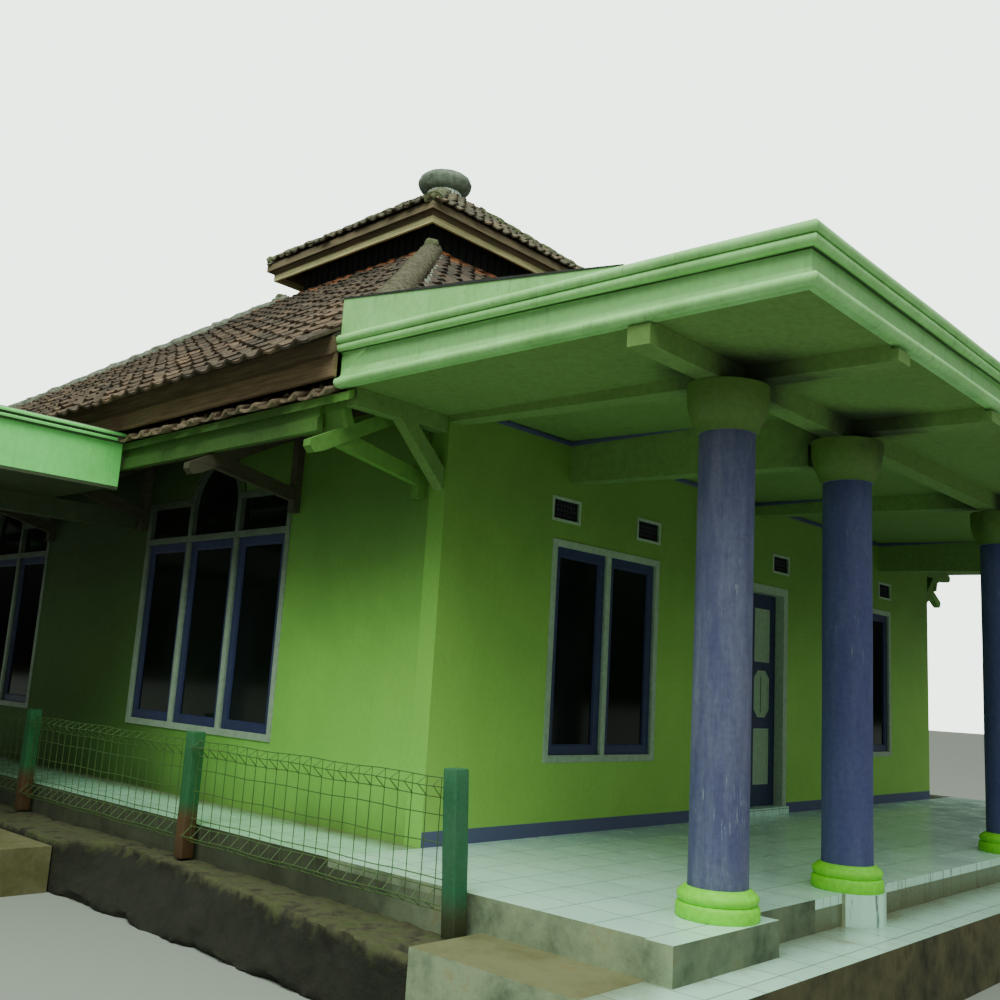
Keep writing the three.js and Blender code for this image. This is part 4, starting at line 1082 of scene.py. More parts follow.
@dataclass
class TiledSlope(Trade):
    """One slope of clay tiles: an S-shaped tile laid in courses and trimmed at the hips."""

    name: str
    origin: Vector
    along: Vector
    rise: Vector
    outline: Loop
    tone: Point = (0.1, 0.9)
    seed: int = 1
    tile_w: float = 0.19
    course: float = 0.245
    lap: float = 0.05
    tail: float = 0.031
    thickness: float = 0.017
    section: tuple[float, ...] = (0.010, 0.001, -0.003, -0.001, 0.008, 0.024, 0.030, 0.014)
    disorder: float = 1.0
    finish: str = "roof tile"

    def model_tile(self) -> Piece:
        """Shapes one tile from a grid: a flat pan, a raised roll and a thick lower edge.

        Returns:
            The tile at the origin, its lower edge at V = 0.
        """
        bpy.ops.object.select_all(action="DESELECT")
        long = self.course + self.lap
        bpy.ops.mesh.primitive_grid_add(x_subdivisions=len(self.section) - 1, y_subdivisions=1, size=1.0,
                                        location=(self.tile_w / 2, long / 2, 0.0))
        tile = bpy.context.active_object
        tile.scale = (self.tile_w * 1.06, long, 1.0)
        settle(tile)
        columns = sorted({round(v.co.x, 5) for v in tile.data.vertices})
        for vertex in tile.data.vertices:
            lift = self.tail * (1.0 - vertex.co.y / long)
            vertex.co.z = self.section[columns.index(round(vertex.co.x, 5))] + lift + 0.006
        apply_modifier(tile, "SOLIDIFY", thickness=self.thickness, offset=-1.0)
        return tile

    def build(self) -> Piece:
        """Lays the slope.

        Returns:
            The joined tiles.
        """
        tile = self.model_tile()
        tile.name = self.name
        per_tile = len(tile.data.vertices)
        us, vs = [p[0] for p in self.outline], [p[1] for p in self.outline]
        across = math.ceil((max(us) - min(us)) / self.tile_w) + 1
        courses = math.ceil((max(vs) - min(vs)) / self.course) + 1
        apply_modifier(tile, "ARRAY", count=across, use_relative_offset=False, use_constant_offset=True,
                       constant_offset_displace=(self.tile_w, 0, 0))
        apply_modifier(tile, "ARRAY", count=courses, use_relative_offset=False, use_constant_offset=True,
                       constant_offset_displace=(0, self.course, 0))
        self.scatter(tile.data, per_tile, min(us), min(vs))
        self.trim(tile)
        normal = self.along.cross(self.rise).normalized()
        to_world = Matrix((self.along, self.rise, normal)).transposed().to_4x4()
        tile.data.transform(Matrix.Translation(self.origin) @ to_world)
        self.shop.dress(tile, self.finish, Slot.ROOF_TILE, smooth=35.0)
        return tile

    def scatter(self, mesh: bpy.types.Mesh, per_tile: int, u0: float, v0: float) -> None:
        """Shifts and tips each tile a little and gives it a tone of its own.

        Args:
            mesh: Mesh of all tiles in order.
            per_tile: Points in one tile.
            u0: Start along the eave.
            v0: Start up the slope.
        """
        rng = np.random.default_rng(self.seed)
        flat = np.empty(len(mesh.vertices) * 3)
        mesh.vertices.foreach_get("co", flat)
        tiles = flat.reshape(-1, per_tile, 3)
        count = len(tiles)
        middle = tiles.mean(axis=1, keepdims=True)
        offset = rng.normal(0.0, self.disorder, (count, 1, 3)) * np.array([0.0035, 0.010, 0.0028])
        tip = rng.normal(0.0, 0.022 * self.disorder, (count, 1))
        tiles[:, :, 2] += tip * (tiles[:, :, 0] - middle[:, :, 0])
        turn = rng.normal(0.0, 0.025 * self.disorder, (count, 1))
        tiles[:, :, 1] += turn * (tiles[:, :, 0] - middle[:, :, 0])
        tiles += offset + np.array([u0, v0, 0.0])
        sag = 0.008 * np.sin(tiles[:, :, 0] * 1.9 + self.seed) * np.sin(tiles[:, :, 1] * 1.3)
        tiles[:, :, 2] += sag
        mesh.vertices.foreach_set("co", tiles.ravel())
        tones = rng.uniform(self.tone[0], self.tone[1], count)
        layer = mesh.attributes.new("tile_tone", "FLOAT", "POINT")
        layer.data.foreach_set("value", np.repeat(tones, per_tile).astype(np.float32))

    def trim(self, tile: Piece) -> None:
        """Cuts the tiles off along the slope's outline.

        Args:
            tile: The laid tiles, in the slope's own plane.
        """
        select_only(tile)
        bpy.ops.object.mode_set(mode="EDIT")
        corners = self.outline
        for (u0, v0), (u1, v1) in zip(corners, corners[1:] + corners[:1]):
            if abs(v1 - v0) < 1e-6 and v0 == min(v for _, v in corners):
                continue
            outward = Vector((v1 - v0, u0 - u1, 0.0)).normalized()
            bpy.ops.mesh.select_all(action="SELECT")
            bpy.ops.mesh.bisect(plane_co=(u0, v0, 0), plane_no=outward, use_fill=True, clear_outer=True)
        bpy.ops.object.mode_set(mode="OBJECT")


@dataclass
class Roofs(Trade):
    """Tiles on both hipped tiers and on the side skirts, slats of the screen, and the finial."""

    middle: Point = ROOF_MIDDLE
    half: float = 4.9
    eave: float = 3.56
    pitch: float = 0.738
    screen: float = 1.2
    front_start: float = 0.121
    upper_half: float = 1.55
    upper_eave: float = 6.67
    upper_pitch: float = 0.76
    neck: float = 0.23
    neck_top: float = 7.805
    skirt_out: float = 0.82
    skirt_low: float = FLOOR + 2.665
    skirt_pitch: float = 0.5
    skirt_ends: Point = (0.137, 8.45)
    slat_count: int = 19
    slat_step: float = 0.1205
    slat_low: float = 6.02
    slat_high: float = 6.93
    cap_profile: tuple[Point, ...] = (
        (0.235, 0.0), (0.262, 0.006), (0.292, 0.026), (0.318, 0.052), (0.338, 0.084), (0.349, 0.115),
        (0.350, 0.135), (0.343, 0.150), (0.336, 0.156), (0.334, 0.170), (0.328, 0.186), (0.302, 0.193),
        (0.296, 0.212), (0.242, 0.224))

    def hip_slope(self, name: str, quarter: int, half: float, inner: float, eave: float,
                  pitch: float, nose: float, cut: float | None = None, **kind: object) -> None:
        """Lays one of four slopes of a square tier.

        Args:
            name: Name of the piece.
            quarter: Quarter turns from the front slope.
            half: Eave's distance from the middle.
            inner: Upper edge's distance from the middle.
            eave: Height of the eave.
            pitch: Rise over run.
            nose: How far the tiles hang over the side eaves.
            cut: Distance from the middle where a front slope starts, or where a side slope's corner is cut.
            kind: Fields of the tiled slope.
        """
        turn = Matrix.Rotation(quarter * math.pi / 2, 3, "Z")
        along = turn @ Vector((1, 0, 0))
        inward = turn @ Vector((0, 1, 0))
        steep = math.hypot(1.0, pitch)
        rise = (inward + Vector((0, 0, pitch))) / steep
        start = half if cut is None or quarter else cut
        reach = (start - inner) * steep
        origin = Vector((*self.middle, eave)) - inward * start + Vector((0, 0, pitch * (half - start)))
        front, rear = (-0.035, -0.03) if cut is None else (0.0, 0.015)
        eave_low = {0: front, 2: rear}.get(quarter, -nose)
        gap = 0.02 + eave_low / steep
        end = start - 0.02
        outline = [(-start + gap, eave_low), (start - gap, eave_low), (inner, reach), (-inner, reach)]
        if cut is not None and quarter in (1, 3):
            near = (half - cut) * steep
            if quarter == 3:
                outline = [(-end, eave_low), (cut, eave_low), (cut, near), (inner, reach), (-inner, reach),
                           (-end, 0.0)]
            else:
                outline = [(-cut, eave_low), (end, eave_low), (end, 0.0), (inner, reach), (-inner, reach),
                           (-cut, near)]
        TiledSlope(self.shop, name, origin, along, rise, outline, seed=quarter + 3, **kind).build()

    def skirt(self) -> None:
        """Lays the tiles of both side skirts."""
        steep = math.hypot(1.0, self.skirt_pitch)
        (front, back), low, reach = self.skirt_ends, -0.055, self.skirt_out * steep
        outline = [(0.0, low), (back - front, low), (back - front, reach), (0.0, reach)]
        left = TiledSlope(self.shop, "skirt_tiles_left", Vector((-self.skirt_out, back, self.skirt_low)),
                          Vector((0, -1, 0)), Vector((1, 0, self.skirt_pitch)) / steep, outline, seed=21,
                          disorder=1.7, finish="skirt tile").build()
        right = copy_moved(left, MIRRORED)
        right.name = "skirt_tiles_right"
        self.shop.dress(right, "skirt tile", Slot.ROOF_TILE, smooth=35.0)

    def slats(self) -> None:
        """Nails upright slats over the dark screen between the tiers."""
        mid = Vector((*self.middle, 0))
        slat = bar("slat", (-1.16, -1.216, self.slat_low), (-1.068, -1.2002, self.slat_high), 0.003)
        apply_modifier(slat, "ARRAY", count=self.slat_count, use_relative_offset=False,
                       use_constant_offset=True, constant_offset_displace=(self.slat_step, 0, 0))
        sides = [copy_moved(slat, Matrix.Translation(mid) @ Matrix.Rotation(i * math.pi / 2, 4, "Z"))
                 for i in range(4)]
        bpy.data.objects.remove(slat)
        self.shop.dress(join("screen_slats", sides), "dark slats", Slot.SLATS)

    def finial(self) -> None:
        """Turns the tiled neck and the weathered concrete cap."""
        x, y = self.middle
        base = self.upper_eave + self.upper_pitch * (self.upper_half - self.neck)
        top = self.neck_top - FLOOR
        outline = ((self.neck, base - FLOOR - 0.01), (self.neck, top))
        neck = Columns(self.shop).turn("finial_neck", x, y, outline, 56)
        self.shop.dress(neck, "neck tiles", Slot.FINIAL)
        outline = tuple((radius, top + height) for radius, height in self.cap_profile)
        cap = Columns(self.shop).turn("finial_cap", x, y, outline, 56)
        for vertex in cap.data.vertices:
            if vertex.co.z < self.neck_top + 0.22:
                vertex.co += noise.noise_vector(vertex.co / 0.06) * 0.004
        self.shop.dress(cap, "cap concrete", Slot.FINIAL, smooth=50.0)
        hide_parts("finial")

    def ridge(self, name: str, corner: Point, reach: Point, tier: Spot, size: Point,
              course: float = 0.27, aside: float = 0.0) -> Piece:
        """Beds lumpy ridge tiles in mortar along one hip.

        Args:
            name: Name of the object.
            corner: Signs of the corner along X and Y.
            reach: Distances of the ridge's lower and upper end from the middle.
            tier: Half width, eave height and pitch of the tier.
            size: Half width and height of the ridge.
            course: How far one ridge tile shows past the next.
            aside: How far the run lies to the side of the hip, down its slope.

        Returns:
            The ridge.
        """
        sx, sy = corner
        half, eave, pitch = tier
        run = Vector((-sx, -sy, pitch)).normalized()
        side = Vector((sy, -sx, 0.0)).normalized()
        up = side.cross(run) if side.cross(run).z > 0 else run.cross(side)
        beside = side * aside - Vector((0.0, 0.0, pitch * abs(aside) / math.sqrt(2.0)))
        spacing = min(0.045, course / 2.0)
        turns = round(course / spacing)
        steps = max(8, int((reach[0] - reach[1]) * math.sqrt(2.0 + pitch * pitch) / spacing))
        sections = []
        for i in range(steps + 1):
            far = reach[0] + (reach[1] - reach[0]) * i / steps
            centre = Vector((self.middle[0] + sx * far, self.middle[1] + sy * far,
                             eave + pitch * (half - far))) + beside
            swell = 1.0 + 0.16 * (1.0 - (i % turns) / (turns - 1.0))
            wide, high = size[0] * swell, size[1] * swell
            section = []
            for k in range(11):
                angle = math.radians(-28 + 236 * k / 10)
                point = centre + side * (math.cos(angle) * wide) + up * (math.sin(angle) * high)
                section.append(point + noise.noise_vector(point / 0.07) * 0.014
                               + noise.noise_vector(point / 0.028) * 0.010)
            sections.append(section)
        return sweep(name, sections)

    def ridges(self) -> None:
        """Runs the ridges down every hip of both tiers."""
        main = (self.half, self.eave, self.pitch)
        upper = (self.upper_half, self.upper_eave, self.upper_pitch)
        low, high = [], []
        for sx, sy in ((-1, -1), (1, -1), (-1, 1), (1, 1)):
            start = self.half - 0.42 if sy < 0 else self.half - 0.08
            near = sx < 0 and sy < 0
            low.append(self.ridge("ridge", (sx, sy), (start, self.screen + 0.12), main,
                                  (0.101, 0.083) if near else (0.108, 0.089), 0.056 if near else 0.27))
            high.append(self.ridge("ridge", (sx, sy), (self.upper_half - 0.01, self.neck + 0.10), upper,
                                   (0.092, 0.062)))
        reach = (self.half - 0.42, self.screen + 0.16)
        for aside in (0.128, -0.128):
            low.append(self.ridge("bedding", (-1, -1), reach, main, (0.030, 0.040), 0.20, aside))
        low[0].name = "hip_ridge_near"
        self.shop.dress(low[0], "ridge clay", Slot.ROOF_TILE, smooth=50.0)
        self.shop.dress(join("hip_ridges_main", low[1:]), "mortar", Slot.ROOF_TILE, smooth=70.0)
        self.shop.dress(join("hip_ridges_upper", high), "mossy mortar", Slot.ROOF_TILE, smooth=70.0)

    def knobs(self) -> None:
        """Sets rough mortar lumps on the upper ends of the hips."""
        spots = []
        for sx in (-1, 1):
            for sy in (-1, 1):
                far = self.screen + 0.20
                spots.append((self.middle[0] + sx * far, self.middle[1] + sy * far,
                              self.eave + self.pitch * (self.half - far) + 0.070, 0.080))
                far = self.upper_half - 0.04
                spots.append((self.middle[0] + sx * far, self.middle[1] + sy * far,
                              self.upper_eave + self.upper_pitch * 0.04 + 0.012, 0.066))
        lumps = []
        for x, y, z, size in spots:
            bpy.ops.object.select_all(action="DESELECT")
            bpy.ops.mesh.primitive_ico_sphere_add(subdivisions=4, radius=size, location=(x, y, z))
            lump = settle(bpy.context.active_object)
            roughen(lump, 0.035, 0.09)
            lumps.append(lump)
        self.shop.dress(join("hip_end_mortar", lumps), "mossy mortar", Slot.ROOF_TILE, smooth=80.0)

    def build(self) -> None:
        """Builds all of the roof's pieces."""
        cut = self.middle[1] - self.front_start
        for quarter, side in enumerate(("front", "right", "rear", "left")):
            self.hip_slope(f"roof_tiles_{side}", quarter, self.half, self.screen, self.eave,
                           self.pitch, 0.17, cut)
            self.hip_slope(f"upper_tiles_{side}", quarter, self.upper_half, self.neck + 0.02,
                           self.upper_eave, self.upper_pitch, 0.03, finish="mossy roof tile",
                           disorder=1.6, tile_w=0.15, course=0.20)
        self.skirt()
        self.slats()
        self.finial()
        self.ridges()
        self.knobs()
        self.shop.finish_node("main roof body", "main_roof_left", "main_roof_right", "main_roof_front",
                              "main_roof_rear")
        self.shop.finish_node("upper roof body", "upper_roof")
        self.shop.finish_node("dark slats", "clerestory_screen")
        self.shop.finish_node("left skirt timber", "skirt_roof_left")
        self.shop.finish_node("right skirt timber", "skirt_roof_right")


@dataclass
class Windows(Trade):
    """Casements beside the door and triple windows with a pointed middle light on each side wall.

    face, sash and bead are the widths of a surround, a sash's wood and its glazing bead. proud is how far
    the surround stands out of the wall, and sash_front and back are depths behind the wall's face.
    """

    face: float = 0.045
    proud: float = 0.010
    sash_front: float = 0.015
    back: float = 0.050
    sash: float = 0.064
    bead: float = 0.009
    bead_depth: Point = (0.026, 0.040)
    glass_depth: Point = (0.036, 0.042)
    casement_x: Point = (1.088, 2.407)
    casement_z: Point = (1.042, 2.601)
    triple_y: tuple[Point, ...] = ((1.651, 3.788), (5.800, 7.937))
    triple_z: Point = (1.047, 2.940)
    transom: Point = (2.580, 2.625)
    spring: float = 2.850
    arch_rise: float = 0.420

    def dress_unit(self, name: str, node: str, parts: dict[str, Piece]) -> None:
        """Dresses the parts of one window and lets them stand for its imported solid.

        Args:
            name: Start of the parts' names.
            node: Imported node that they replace.
            parts: Parts by kind; a window with an arch stands under the side eaves.
        """
        white = "eave joinery" if "arch" in parts else "white joinery"
        finishes = {"surround": (white, Slot.WHITE), "sashes": ("indigo joinery", Slot.INDIGO),
                    "glass": ("window glass", Slot.WINDOW), "beads": ("indigo joinery", Slot.INDIGO),
                    "arch": ("arch plaster", Slot.WHITE)}
        for kind, part in parts.items():
            part.name = f"{name}_{kind}"
            finish, slot = finishes[kind]
            self.shop.dress(part, finish, slot)
        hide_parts(node)

    def unit(self, outline: Loop, lights: list[Loop], tops: list[Loop], upright: Matrix,
             pane: Loop) -> dict[str, Piece]:
        """Makes surround, sashes, beads and glass of one window.

        Args:
            outline: Outline of the surround.
            lights: Openings of the sashes, as rectangles.
            tops: Openings of the fanlights.
            upright: Turns the window's plane into the wall.
            pane: Outline of the glass.

        Returns:
            The parts by kind.
        """
        loops = [outline, *lights, *tops]
        surround = plate("surround", loops, (-self.proud, self.sash_front), upright, 0.003)
        carcass = plate("carcass", loops, (self.sash_front, self.back), upright)
        sashes, beads = [], []
        for (u0, v0), _, (u1, v1), _ in lights:
            hole = rectangle(u0 + self.sash, u1 - self.sash, v0 + self.sash, v1 - self.sash)
            gap = rectangle(u0 + 0.003, u1 - 0.003, v0 + 0.003, v1 - 0.003)
            depth = (self.sash_front + 0.002, self.back - 0.002)
            sashes.append(plate("sash", [gap, hole], depth, upright, 0.004))
            bead = self.bead
            inner = rectangle(hole[0][0] + bead, hole[1][0] - bead, hole[0][1] + bead, hole[2][1] - bead)
            beads.append(plate("bead", [hole, inner], self.bead_depth, upright, 0.003))
        return {"surround": join("surround", [surround, carcass]), "sashes": join("sashes", sashes),
                "beads": join("beads", beads), "glass": plate("glass", [pane], self.glass_depth, upright)}

    def casements(self) -> None:
        """Builds the two front windows."""
        (x0, x1), (z0, z1), f = self.casement_x, self.casement_z, self.face
        mid = (x0 + x1) / 2
        lights = [rectangle(x0 + f, mid - f / 2, z0 + f, z1 - f),
                  rectangle(mid + f / 2, x1 - f, z0 + f, z1 - f)]
        parts = self.unit(rectangle(x0, x1, z0, z1), lights, [], FACING_FRONT,
                          rectangle(x0 + 0.02, x1 - 0.02, z0 + 0.02, z1 - 0.02))
        twins = {kind: copy_moved(part, MIRRORED) for kind, part in parts.items()}
        self.dress_unit("front_window_left", "window_front_left", parts)
        self.dress_unit("front_window_right", "window_front_right", twins)

    def arch(self, y0: float, y1: float, shrink: float, low: float, steps: int = 12) -> Loop:
        """Gives a pointed arch from its right foot over the top to its left foot.

        Args:
            y0: Left foot.
            y1: Right foot.
            shrink: Distance inside the arch.
            low: Height where the line starts.
            steps: Faces in each half.

        Returns:
            The points.
        """
        mid, half, rise = (y0 + y1) / 2, (y1 - y0) / 2 - shrink, self.arch_rise - shrink
        centre = (half * half - rise * rise) / (2 * half)
        radius = half - centre
        start, end = math.asin((low - self.spring) / radius), math.atan2(rise, -centre)
        turns = [start + (end - start) * i / steps for i in range(steps + 1)]
        right = [(mid + centre + radius * math.cos(a), self.spring + radius * math.sin(a)) for a in turns]
        right[-1] = (mid, right[-1][1])
        return right + [(2 * mid - y, z) for y, z in reversed(right[:-1])]

    def triples(self) -> None:
        """Builds the side windows."""
        f = self.face
        for (y0, y1), place in zip(self.triple_y, ("near", "far")):
            third = (y1 - y0) / 3
            a, b = y0 + third - f / 2, y1 - third + f / 2
            edges = (y0 + f, a, a + f, b - f, b, y1 - f)
            sill, low, high = self.triple_z[0] + f, self.transom[1], self.triple_z[1] - f
            lights = [rectangle(edges[i], edges[i + 1], sill, self.transom[0]) for i in (0, 2, 4)]
            tops = [rectangle(edges[0], edges[1], low, high), rectangle(edges[4], edges[5], low, high),
                    [(edges[2], low), (edges[3], low), *self.arch(a, b, f, self.spring)]]
            top = self.triple_z[1]
            outline = [(y0, self.triple_z[0]), (y1, self.triple_z[0]), (y1, top), *self.arch(a, b, 0.0, top),
                       (y0, top)]
            parts = self.unit(outline, lights, tops, FACING_SIDE, self.pane(outline))
            rim = [*self.arch(a, b, -0.052, top), *reversed(self.arch(a, b, 0.004, top))]
            parts["arch"] = plate("arch", [rim], (-0.016, 0.004), FACING_SIDE, 0.004)
            twins = {kind: copy_moved(part, MIRRORED) for kind, part in parts.items()}
            self.dress_unit(f"side_window_left_{place}", f"window_left_{place}", parts)
            self.dress_unit(f"side_window_right_{place}", f"window_right_{place}", twins)

    def pane(self, outline: Loop) -> Loop:
        """Draws the glass a little inside a surround's outline."""
        mid_u = sum(u for u, _ in outline) / len(outline)
        mid_v = (self.triple_z[0] + self.triple_z[1]) / 2
        return [(mid_u + (u - mid_u) * 0.985, mid_v + (v - mid_v) * 0.985) for u, v in outline]

    def build(self) -> None:
        """Builds every window."""
        self.casements()
        self.triples()


@dataclass
class Doorway(Trade):
    """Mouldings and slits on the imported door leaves, which keep their own hinges."""

    xs: Point = (3.6305, 3.9040)
    panels: tuple[Point, ...] = ((0.805, 1.300), (1.400, 1.822), (1.900, 2.390))
    face: float = 0.083
    corner: float = 0.07
    slit: Point = (1.45, 1.77)

    def leaf_trim(self, side: str, body: str, mirrored: bool) -> None:
        """Puts the mouldings and the slit on one leaf.

        Args:
            side: left or right.
            body: Body of the leaf.
            mirrored: Whether the leaf is the mirror image.
        """
        x0, x1 = self.xs
        mouldings = []
        for number, (z0, z1) in enumerate(self.panels):
            if number == 1:
                c = self.corner
                outer = [(x0 + c, z0), (x1 - c, z0), (x1, z0 + c), (x1, z1 - c), (x1 - c, z1), (x0 + c, z1),
                         (x0, z1 - c), (x0, z0 + c)]
            else:
                outer = rectangle(x0, x1, z0, z1)
            mid = Vector(((x0 + x1) / 2, (z0 + z1) / 2))
            inner = [((u - mid.x) * 0.915 + mid.x, (v - mid.y) * 0.955 + mid.y) for u, v in outer]
            mouldings.append(plate("moulding", [outer, inner], (self.face + 0.001, self.face + 0.0095),
                                   FACING_FRONT, 0.002))
        trim = join(f"door_mouldings_{side}", mouldings)
        # The slit is a thin dark plate on the leaf, painted shade of the narrow gap
        gap = rectangle((x0 + x1) / 2 - 0.003, (x0 + x1) / 2 + 0.003, *self.slit)
        slit = plate(f"door_slit_{side}", [gap], (self.face + 0.0065, self.face + 0.0092), FACING_FRONT,
                     0.0008)
        for piece, finish, slot in ((trim, "white joinery", Slot.WHITE), (slit, "dark slats", Slot.INDIGO)):
            if mirrored:
                piece.data.transform(MIRRORED)
                piece.data.flip_normals()
            self.shop.dress(piece, finish, slot, body)

    def build(self) -> None:
        """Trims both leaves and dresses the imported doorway."""
        self.leaf_trim("left", "door_left", False)
        self.leaf_trim("right", "door_right", True)
        self.shop.finish_node("door leaf paint", "door_leaf_left", "door_leaf_right")
        self.shop.finish_node("white joinery", "door_frame")
        self.shop.finish_node("floor tiles", "door_threshold")


@dataclass
class WallTrims(Trade):
    """Ventilation grilles, and the painted batten under the porch soffit."""

    vent_x: tuple[float, ...] = (1.075, 2.107, 3.431, 4.274, 5.598, 6.630)
    vent_z: float = 2.748
    vent: Point = (0.295, 0.150)
    bays: tuple[Point, ...] = ((0.135, 1.235), (1.375, 3.930), (4.070, 6.625), (6.765, 7.865))
    batten_z: Point = (3.302, 3.335)
    batten: float = 0.022
    batten_front: float = -1.93

    def grille(self, x: float) -> tuple[Piece, Piece]:
        """Makes one vent's rim and lattice.

        Args:
            x: Left edge of the vent.

        Returns:
            The rim and the lattice.
        """
        (w, h), z = self.vent, self.vent_z
        rim = plate("rim", [rectangle(x - 0.013, x + w + 0.013, z - 0.013, z + h + 0.013),
                            rectangle(x + 0.004, x + w - 0.004, z + 0.004, z + h - 0.004)], (-0.006, 0.012),
                    FACING_FRONT, 0.002)
        step_u, step_v, web = (w - 0.008) / 8, (h - 0.008) / 4, 0.006
        holes = [rectangle(x + 0.004 + i * step_u + web, x + 0.004 + (i + 1) * step_u - web,
                           z + 0.004 + j * step_v + web, z + 0.004 + (j + 1) * step_v - web)
                 for i in range(8) for j in range(4)]
        lattice = plate("lattice", [rectangle(x + 0.001, x + w - 0.001, z + 0.001, z + h - 0.001), *holes],
                        (0.020, 0.045), FACING_FRONT, 0.001)
        return rim, lattice

    def build(self) -> None:
        """Builds the trims."""
        pairs = [self.grille(x) for x in self.vent_x]
        self.shop.dress(join("vent_rims", [p[0] for p in pairs]), "white joinery", Slot.WHITE)
        self.shop.dress(join("vent_lattices", [p[1] for p in pairs]), "vent block", Slot.SLATS)
        low, high = self.batten_z
        battens = [bar("batten", (a, -self.batten, low), (b, -0.0005, high), 0.004) for a, b in self.bays]
        battens += [bar("batten", (b - self.batten, self.batten_front, low), (b - 0.0005, -0.024, high),
                        0.004) for _, b in self.bays]
        self.shop.dress(join("soffit_batten", battens), "violet trim", Slot.INDIGO)


@dataclass
class RetainingWall(Trade):
    """Rubble wall along the side terrace, its face and top uneven."""

    low: Spot = (-1.16, -1.2, 0.0)
    high: Spot = (-0.697, 8.65, 0.35)
    worn: Point = (-1.2, 2.36)
    wear: float = 0.30
    taper: float = 2.9
    shoulder: float = 0.15

    def build(self) -> None:
        """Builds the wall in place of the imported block."""
        wall = bar("rubble_wall", self.low, self.high, 0.02)
        apply_modifier(wall, "REMESH", mode="VOXEL", voxel_size=0.035)
        for vertex in wall.data.vertices:
            place = vertex.co.copy()
            shift = noise.noise_vector(place / 0.30) * 0.045 + noise.noise_vector(place / 0.09) * 0.022
            inset = 0.012 if place.z > 0.02 else 0.0
            worn = min(max((place.y - self.worn[0]) / self.taper, 0.0), 1.0)
            worn *= min(max((self.worn[1] - place.y) / self.shoulder, 0.0), 1.0) * min(place.z / 0.30, 1.0)
            share = (self.high[0] - place.x) / (self.high[0] - self.low[0])
            shift.x += worn * self.wear * share
            moved = place + shift
            for axis in range(3):
                least = self.low[axis] + inset * (axis == 0)
                most = self.high[axis] - inset * (axis == 2)
                vertex.co[axis] = min(max(moved[axis], least), most)
            if place.z < 0.004:
                vertex.co.z = 0.0
        self.shop.dress(wall, "mossy masonry", Slot.MASONRY, smooth=60.0)
        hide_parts("retaining_wall")


@dataclass
class Fence(Trade):
    """Low fence: painted concrete posts and welded wire mesh whose edges are rolled into triangles."""

    x: float = -0.78
    first: float = -1.10
    bay: float = 2.46
    bays: int = 3
    low: float = 0.46
    top: float = 1.08
    roll: float = 0.095
    bulge: float = 0.062
    pitch: float = 0.107
    wire: float = 0.0029
    half_post: float = 0.045
    post_z: Point = (0.35, 1.135)
    lean: Vector = Vector((-0.034, 0.037, 0.0))

    def wires(self, name: str, lines: list[list[tuple]]) -> Piece:
        """Draws wires as curves with a round section and makes them a mesh.

        Args:
            name: Name of the object.
            lines: Points of each wire.

        Returns:
            The wires.
        """
        curve = bpy.data.curves.new(name, "CURVE")
        curve.dimensions = "3D"
        curve.bevel_depth = self.wire
        curve.bevel_resolution = 1
        curve.use_fill_caps = True
        for line in lines:
            spline = curve.splines.new("POLY")
            spline.points.add(len(line) - 1)
            for point, place in zip(spline.points, line):
                point.co = (*place, 1.0)
        piece = bpy.data.objects.new(name, curve)
        bpy.context.scene.collection.objects.link(piece)
        select_only(piece)
        bpy.ops.object.convert(target="MESH")
        return bpy.context.active_object

    def mesh_lines(self, start: float, end: float) -> list[list[tuple]]:
        """Plans the wires of one bay.

        Args:
            start: Y of the near post's face.
            end: Y of the far post's face.

        Returns:
            Points of each wire.
        """
        x, low, top, roll = self.x, self.low, self.top, self.roll
        out = x - self.bulge
        lines = []
        count = int((end - start) / self.pitch)
        for i in range(1, count + 1):
            y = start + i * self.pitch
            lean = 0.004 * math.sin(i * 2.4)
            lines.append([(x, y, low + roll), (out, y + lean, low + roll * 0.4), (x, y, low),
                          (x, y + lean, (low + top) / 2), (x, y, top), (out, y - lean, top - roll * 0.4),
                          (x, y, top - roll)])
        levels = [(x, low), (x, low + roll), (out, low + roll * 0.4), (x, 0.60), (x, 0.765), (x, 0.90),
                  (x, top - roll), (x, top), (out, top - roll * 0.4)]
        steps = 12
        for place_x, z in levels:
            sway = [0.004 * math.sin(i * 1.7 + z * 9.0) * (0 < i < steps) for i in range(steps + 1)]
            lines.append([(place_x, start + (end - start) * i / steps, z + sway[i])
                          for i in range(steps + 1)])
        return lines

    def build(self) -> None:
        """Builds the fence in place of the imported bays."""
        for number in range(self.bays):
            y = self.first + number * self.bay
            mesh = self.wires(f"fence_mesh_{number + 1}", self.mesh_lines(y + 0.044, y + self.bay - 0.044))
            self.shop.dress(mesh, "mesh wire", Slot.FENCE, smooth=60.0)
            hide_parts(f"fence_bay_{number + 1}")
        foot, head = self.post_z
        for number in range(self.bays + 1):
            y = self.first + number * self.bay
            half = self.half_post
            post = bar(f"fence_post_{number + 1}", (self.x - half, y - half, foot),
                       (self.x + half, y + half, head), 0.006)
            bpy.ops.object.mode_set(mode="EDIT")
            bpy.ops.mesh.select_all(action="SELECT")
            bpy.ops.mesh.subdivide(number_cuts=5)
            bpy.ops.object.mode_set(mode="OBJECT")
            for vertex in post.data.vertices:
                if vertex.co.z > foot + 0.01:
                    vertex.co += noise.noise_vector(vertex.co / 0.08) * 0.0028
                if number == 0:
                    vertex.co += self.lean * (vertex.co.z - foot)
            finish = "near post paint" if number == 0 else "post paint"
            self.shop.dress(post, finish, Slot.FENCE, smooth=35.0)


